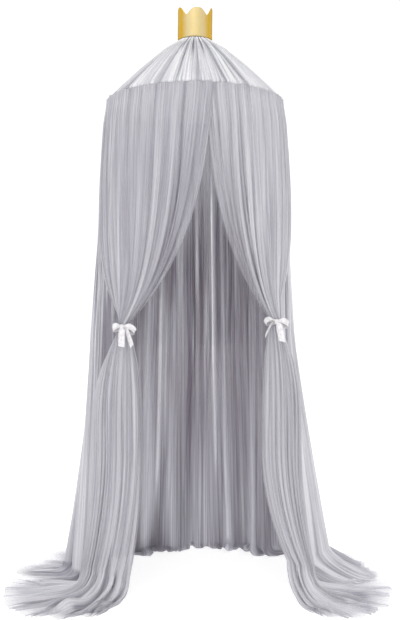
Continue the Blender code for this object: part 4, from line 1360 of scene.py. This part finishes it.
whiteSatin = {
    "light": (0.72, 0.71, 0.72),
    "deep": (0.48, 0.455, 0.49),
    "roughness": (0.24, 0.40),
    "floats": (0.0004, 0.006),  # across, along, and detail
    "patches": (0.006, 0.012, 3.0),
    "bumpDepth": 0.0006,
}


def satinMaterial():
    made, start = startMaterial("whiteSatin")
    cloth = start.node("ShaderNodeUVMap", {"uv_map": "cloth"})
    floats, patches = (streaks(cloth, *whiteSatin[key]) for key in ("floats", "patches"))
    tone = floats * 0.5 + patches * 0.5
    return endMaterial(made, start, {
        "Base Color": tone.ranged(0.3, 0.6, 0.0, 1.0).mixed(whiteSatin["deep"], whiteSatin["light"]),
        "Roughness": patches.ranged(0.3, 0.7, *whiteSatin["roughness"]),
        "Normal": bumped(floats * 0.3 + patches, whiteSatin["bumpDepth"], 0.5),
        "Sheen Weight": 0.2,
    })


def smoothLine(points, count):
    # evenly spaced points on a smooth curve through a strip's few given ones
    points = np.array(points)
    spots = np.concatenate([[0.0], np.cumsum(np.linalg.norm(np.diff(points, axis=0), axis=1))])
    dense = np.linspace(0, spots[-1], 12 * count)
    curve = np.stack([curveThrough(spots, line, dense) for line in points.T], axis=1)
    run = np.concatenate([[0.0], np.cumsum(np.linalg.norm(np.diff(curve, axis=0), axis=1))])
    even = np.linspace(0, run[-1], count)
    return np.stack([np.interp(even, run, line) for line in curve.T], axis=1)


def ribbonStrip(line, way, half, cup, slant, finish):
    # a strip along a line. half is half its width and cup how far its edges bend, point by point
    over = np.linspace(-1, 1, ribbon["columns"])
    along = unit(np.gradient(line, axis=0))
    across = unit(way - along * (along @ way)[:, None])
    normal = np.cross(along, across)
    narrow = 1 - half / half.max()
    pinch, turns = ribbon["pinch"]
    bend = cup[:, None] * (over**2 - 0.4) + pinch * narrow[:, None] * np.cos(turns * math.pi * over)
    ending = np.linspace(0, 1, len(line))[:, None] ** 5
    grid = (
        line[:, None]
        + across[:, None] * (half[:, None] * over)[..., None]
        + normal[:, None] * bend[..., None]
        + along[:, None] * (slant * half.max() * over * ending)[..., None]
    )
    face = gridFrame(grid)[2] * ribbon["thick"] / 2
    length = np.linalg.norm(np.diff(line, axis=0), axis=1).sum()
    return closedSheet("strip", grid - face, grid + face, finish, (2 * half.max(), length))


def ribbonRing(centre, axis, start, side, radii, spans, wall, finish):
    # a ribbon closed round an axis. radii are along start and side, spans the places along the axis
    turn = np.linspace(0, math.tau, ribbon["ringSteps"], endpoint=False)
    ways = np.cos(turn)[:, None] * start, np.sin(turn)[:, None] * side
    place, swell = spans
    shells = []
    for radius in (0.0, wall):
        reach = sum(way[None] * (r + swell[:, None, None] + radius) for way, r in zip(ways, radii))
        shells.append(centre + reach + (axis * place[:, None])[:, None])
    return closedSheet("ring", *shells, finish, (math.tau * max(radii), np.ptp(place)), ring=True)


def joinPieces(name, pieces, finish):
    bm = bmesh.new()
    for piece in pieces:
        bm.from_mesh(piece.data)
        bpy.data.objects.remove(piece)
    mesh = bpy.data.meshes.new(name)
    bm.to_mesh(mesh)
    bm.free()
    mesh.shade_smooth()
    mesh.materials.append(finish)
    return addItem(name, mesh)


def bowLoop(form, knot, ways, finish):
    aside, ahead, up = ways
    line = smoothLine(ribbon["loopLine"], ribbon["loopSteps"])
    spot = np.linspace(0, 1, len(line))
    roll = math.radians(form["roll"])
    outwards = ahead * math.cos(roll) + up * math.sin(roll)
    upright = up * math.cos(roll) - ahead * math.sin(roll)
    line = (
        knot
        + aside * form["way"] * form["stretch"] * line[:, :1]
        + outwards * form["belly"] * line[:, 1:2]
        + upright * line[:, 2:]
        - up * form["droop"] * line[:, :1]
    )
    narrow, reach = ribbon["loopNarrow"]
    opening = softStep(np.minimum(spot, 1 - spot) / reach)
    half = ribbon["width"] * ribbon["loopShare"] / 2 * (narrow + (1 - narrow) * opening)
    tilt = upright + aside * form["way"] * ribbon["loopTilt"]
    return ribbonStrip(line, tilt, half, ribbon["loopCup"] * opening, 0.0, finish)


def bowTail(form, knot, ways, finish):
    aside, ahead, up = ways
    line = smoothLine(ribbon["tailLine"], ribbon["tailSteps"])
    spot = np.linspace(0, 1, len(line))
    line = (
        knot
        + aside * form["way"] * form["stretch"] * line[:, :1]
        + ahead * (line[:, 1:2] + form["lift"])
        + up * line[:, 2:] * form["length"]
    )
    narrow, reach = ribbon["tailNarrow"]
    half = ribbon["width"] * ribbon["tailShare"] / 2 * (narrow + (1 - narrow) * softStep(spot / reach))
    turn = math.radians(form["turn"])
    across = aside * math.cos(turn) + ahead * math.sin(turn)
    cup = ribbon["tailCup"] * (1 - 0.5 * spot)
    return ribbonStrip(line, across, half, cup, form["slant"], finish)


def ribbonTie(name, panel, bow, finish):
    facing = math.radians(panel["facing"] * ribbon["turned"])
    ahead = np.array((math.sin(facing), -math.cos(facing), 0))
    aside = np.array((math.cos(facing), math.sin(facing), 0))
    up = np.array((0.0, 0.0, 1.0))
    tieX, tieY, tieHeight = panel["tie"]
    centre = np.array((tieX, tieY, floorLevel + tieHeight))
    knot = centre + ahead * (ribbon["bandInside"] + ribbon["bandWall"] + ribbon["knotStand"])

    tall = np.linspace(-0.5, 0.5, ribbon["ringRows"])
    creases = ripples(ribbon["bandCreases"], tall)
    band = ribbonRing(
        centre, up, np.array((1.0, 0, 0)), np.array((0, 1.0, 0)),
        (ribbon["bandInside"] + ribbon["bandClear"],) * 2, (tall * ribbon["bandHeight"], creases),
        ribbon["bandThick"], finish,
    )
    wide = np.linspace(-1, 1, ribbon["ringRows"])
    barrel = -ribbon["knotBarrel"] * wide**4 + ripples(ribbon["knotCreases"], wide)
    long, thick, high = ribbon["knot"]
    wrap = ribbonRing(
        knot, aside, ahead, up, [size / 2 - ribbon["wrapInset"] for size in (thick, high)],
        (wide * long / 2, barrel), ribbon["wrapThick"], finish,
    )
    ways = aside, ahead, up
    loops = [bowLoop(form, knot, ways, finish) for form in bow["loops"]]
    tails = [bowTail(form, knot, ways, finish) for form in bow["tails"]]
    return joinPieces(name, [band, wrap, *loops, *tails], finish)


def declare(piece, node, slot, **sheet):
    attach(piece, "root")
    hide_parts(node)
    print(f"{piece.name} ready: {len(piece.data.polygons)} faces")


greyNetFinish = netMaterial("greyNet", greyNet)
backNetFinish = netMaterial("backNet", backNet)
drapeStages = stageRows(
    (0, 0.03, 3), (0.03, 0.90, 35), (0.90, 1.0, 8), (1, 2, 2), (2, 2.12, 6), (2.12, 3, 18),
    (3, 4, 17), (4, 5, 12), (5, 6, 20),
)
backStages = stageRows((0, 0.03, 2), (0.03, 1, 24), (1, 2, 22), (2, 3, 12), (3, 4, 16))
for name, node, panel in (
    ("leftDrape", "drape_left", leftDrape), ("rightDrape", "drape_right", rightDrape),
):
    piece = netPiece(name, panel, drapeStages, drapeRow, greyNetFinish)
    declare(piece, node, "grey_net", flat=panel["flat"], held="gathered", rests_on=["hoop"])
piece = netPiece("backPanel", backPanel, backStages, backRow, backNetFinish)
declare(piece, "back_panel", "grey_net", flat=backPanel["flat"], held="gathered", rests_on=["hoop"])

piece = makeRoof(netMaterial("roofNet", roofNet))
declare(
    piece, "roof", "pale_roof_net", flat=roof["flat"], area=roof["area"], held="gathered",
    rests_on=["hoop"],
)
piece, flat = makeCrown(goldMaterial())
declare(piece, "crown", "gold_cloth", flat=flat, held="stretched", rests_on=["roof"])
declare(makeHoop(plasticMaterial()), "hoop", "white_plastic")
satin = satinMaterial()
for name, node, panel, bow in (
    ("leftTie", "tie_left", leftDrape, leftBow), ("rightTie", "tie_right", rightDrape, rightBow),
):
    piece = ribbonTie(name, panel, bow, satin)
    declare(
        piece, node, "white_satin", flat=ribbon["flat"], held="gathered",
        rests_on=["leftDrape" if panel is leftDrape else "rightDrape"],
    )
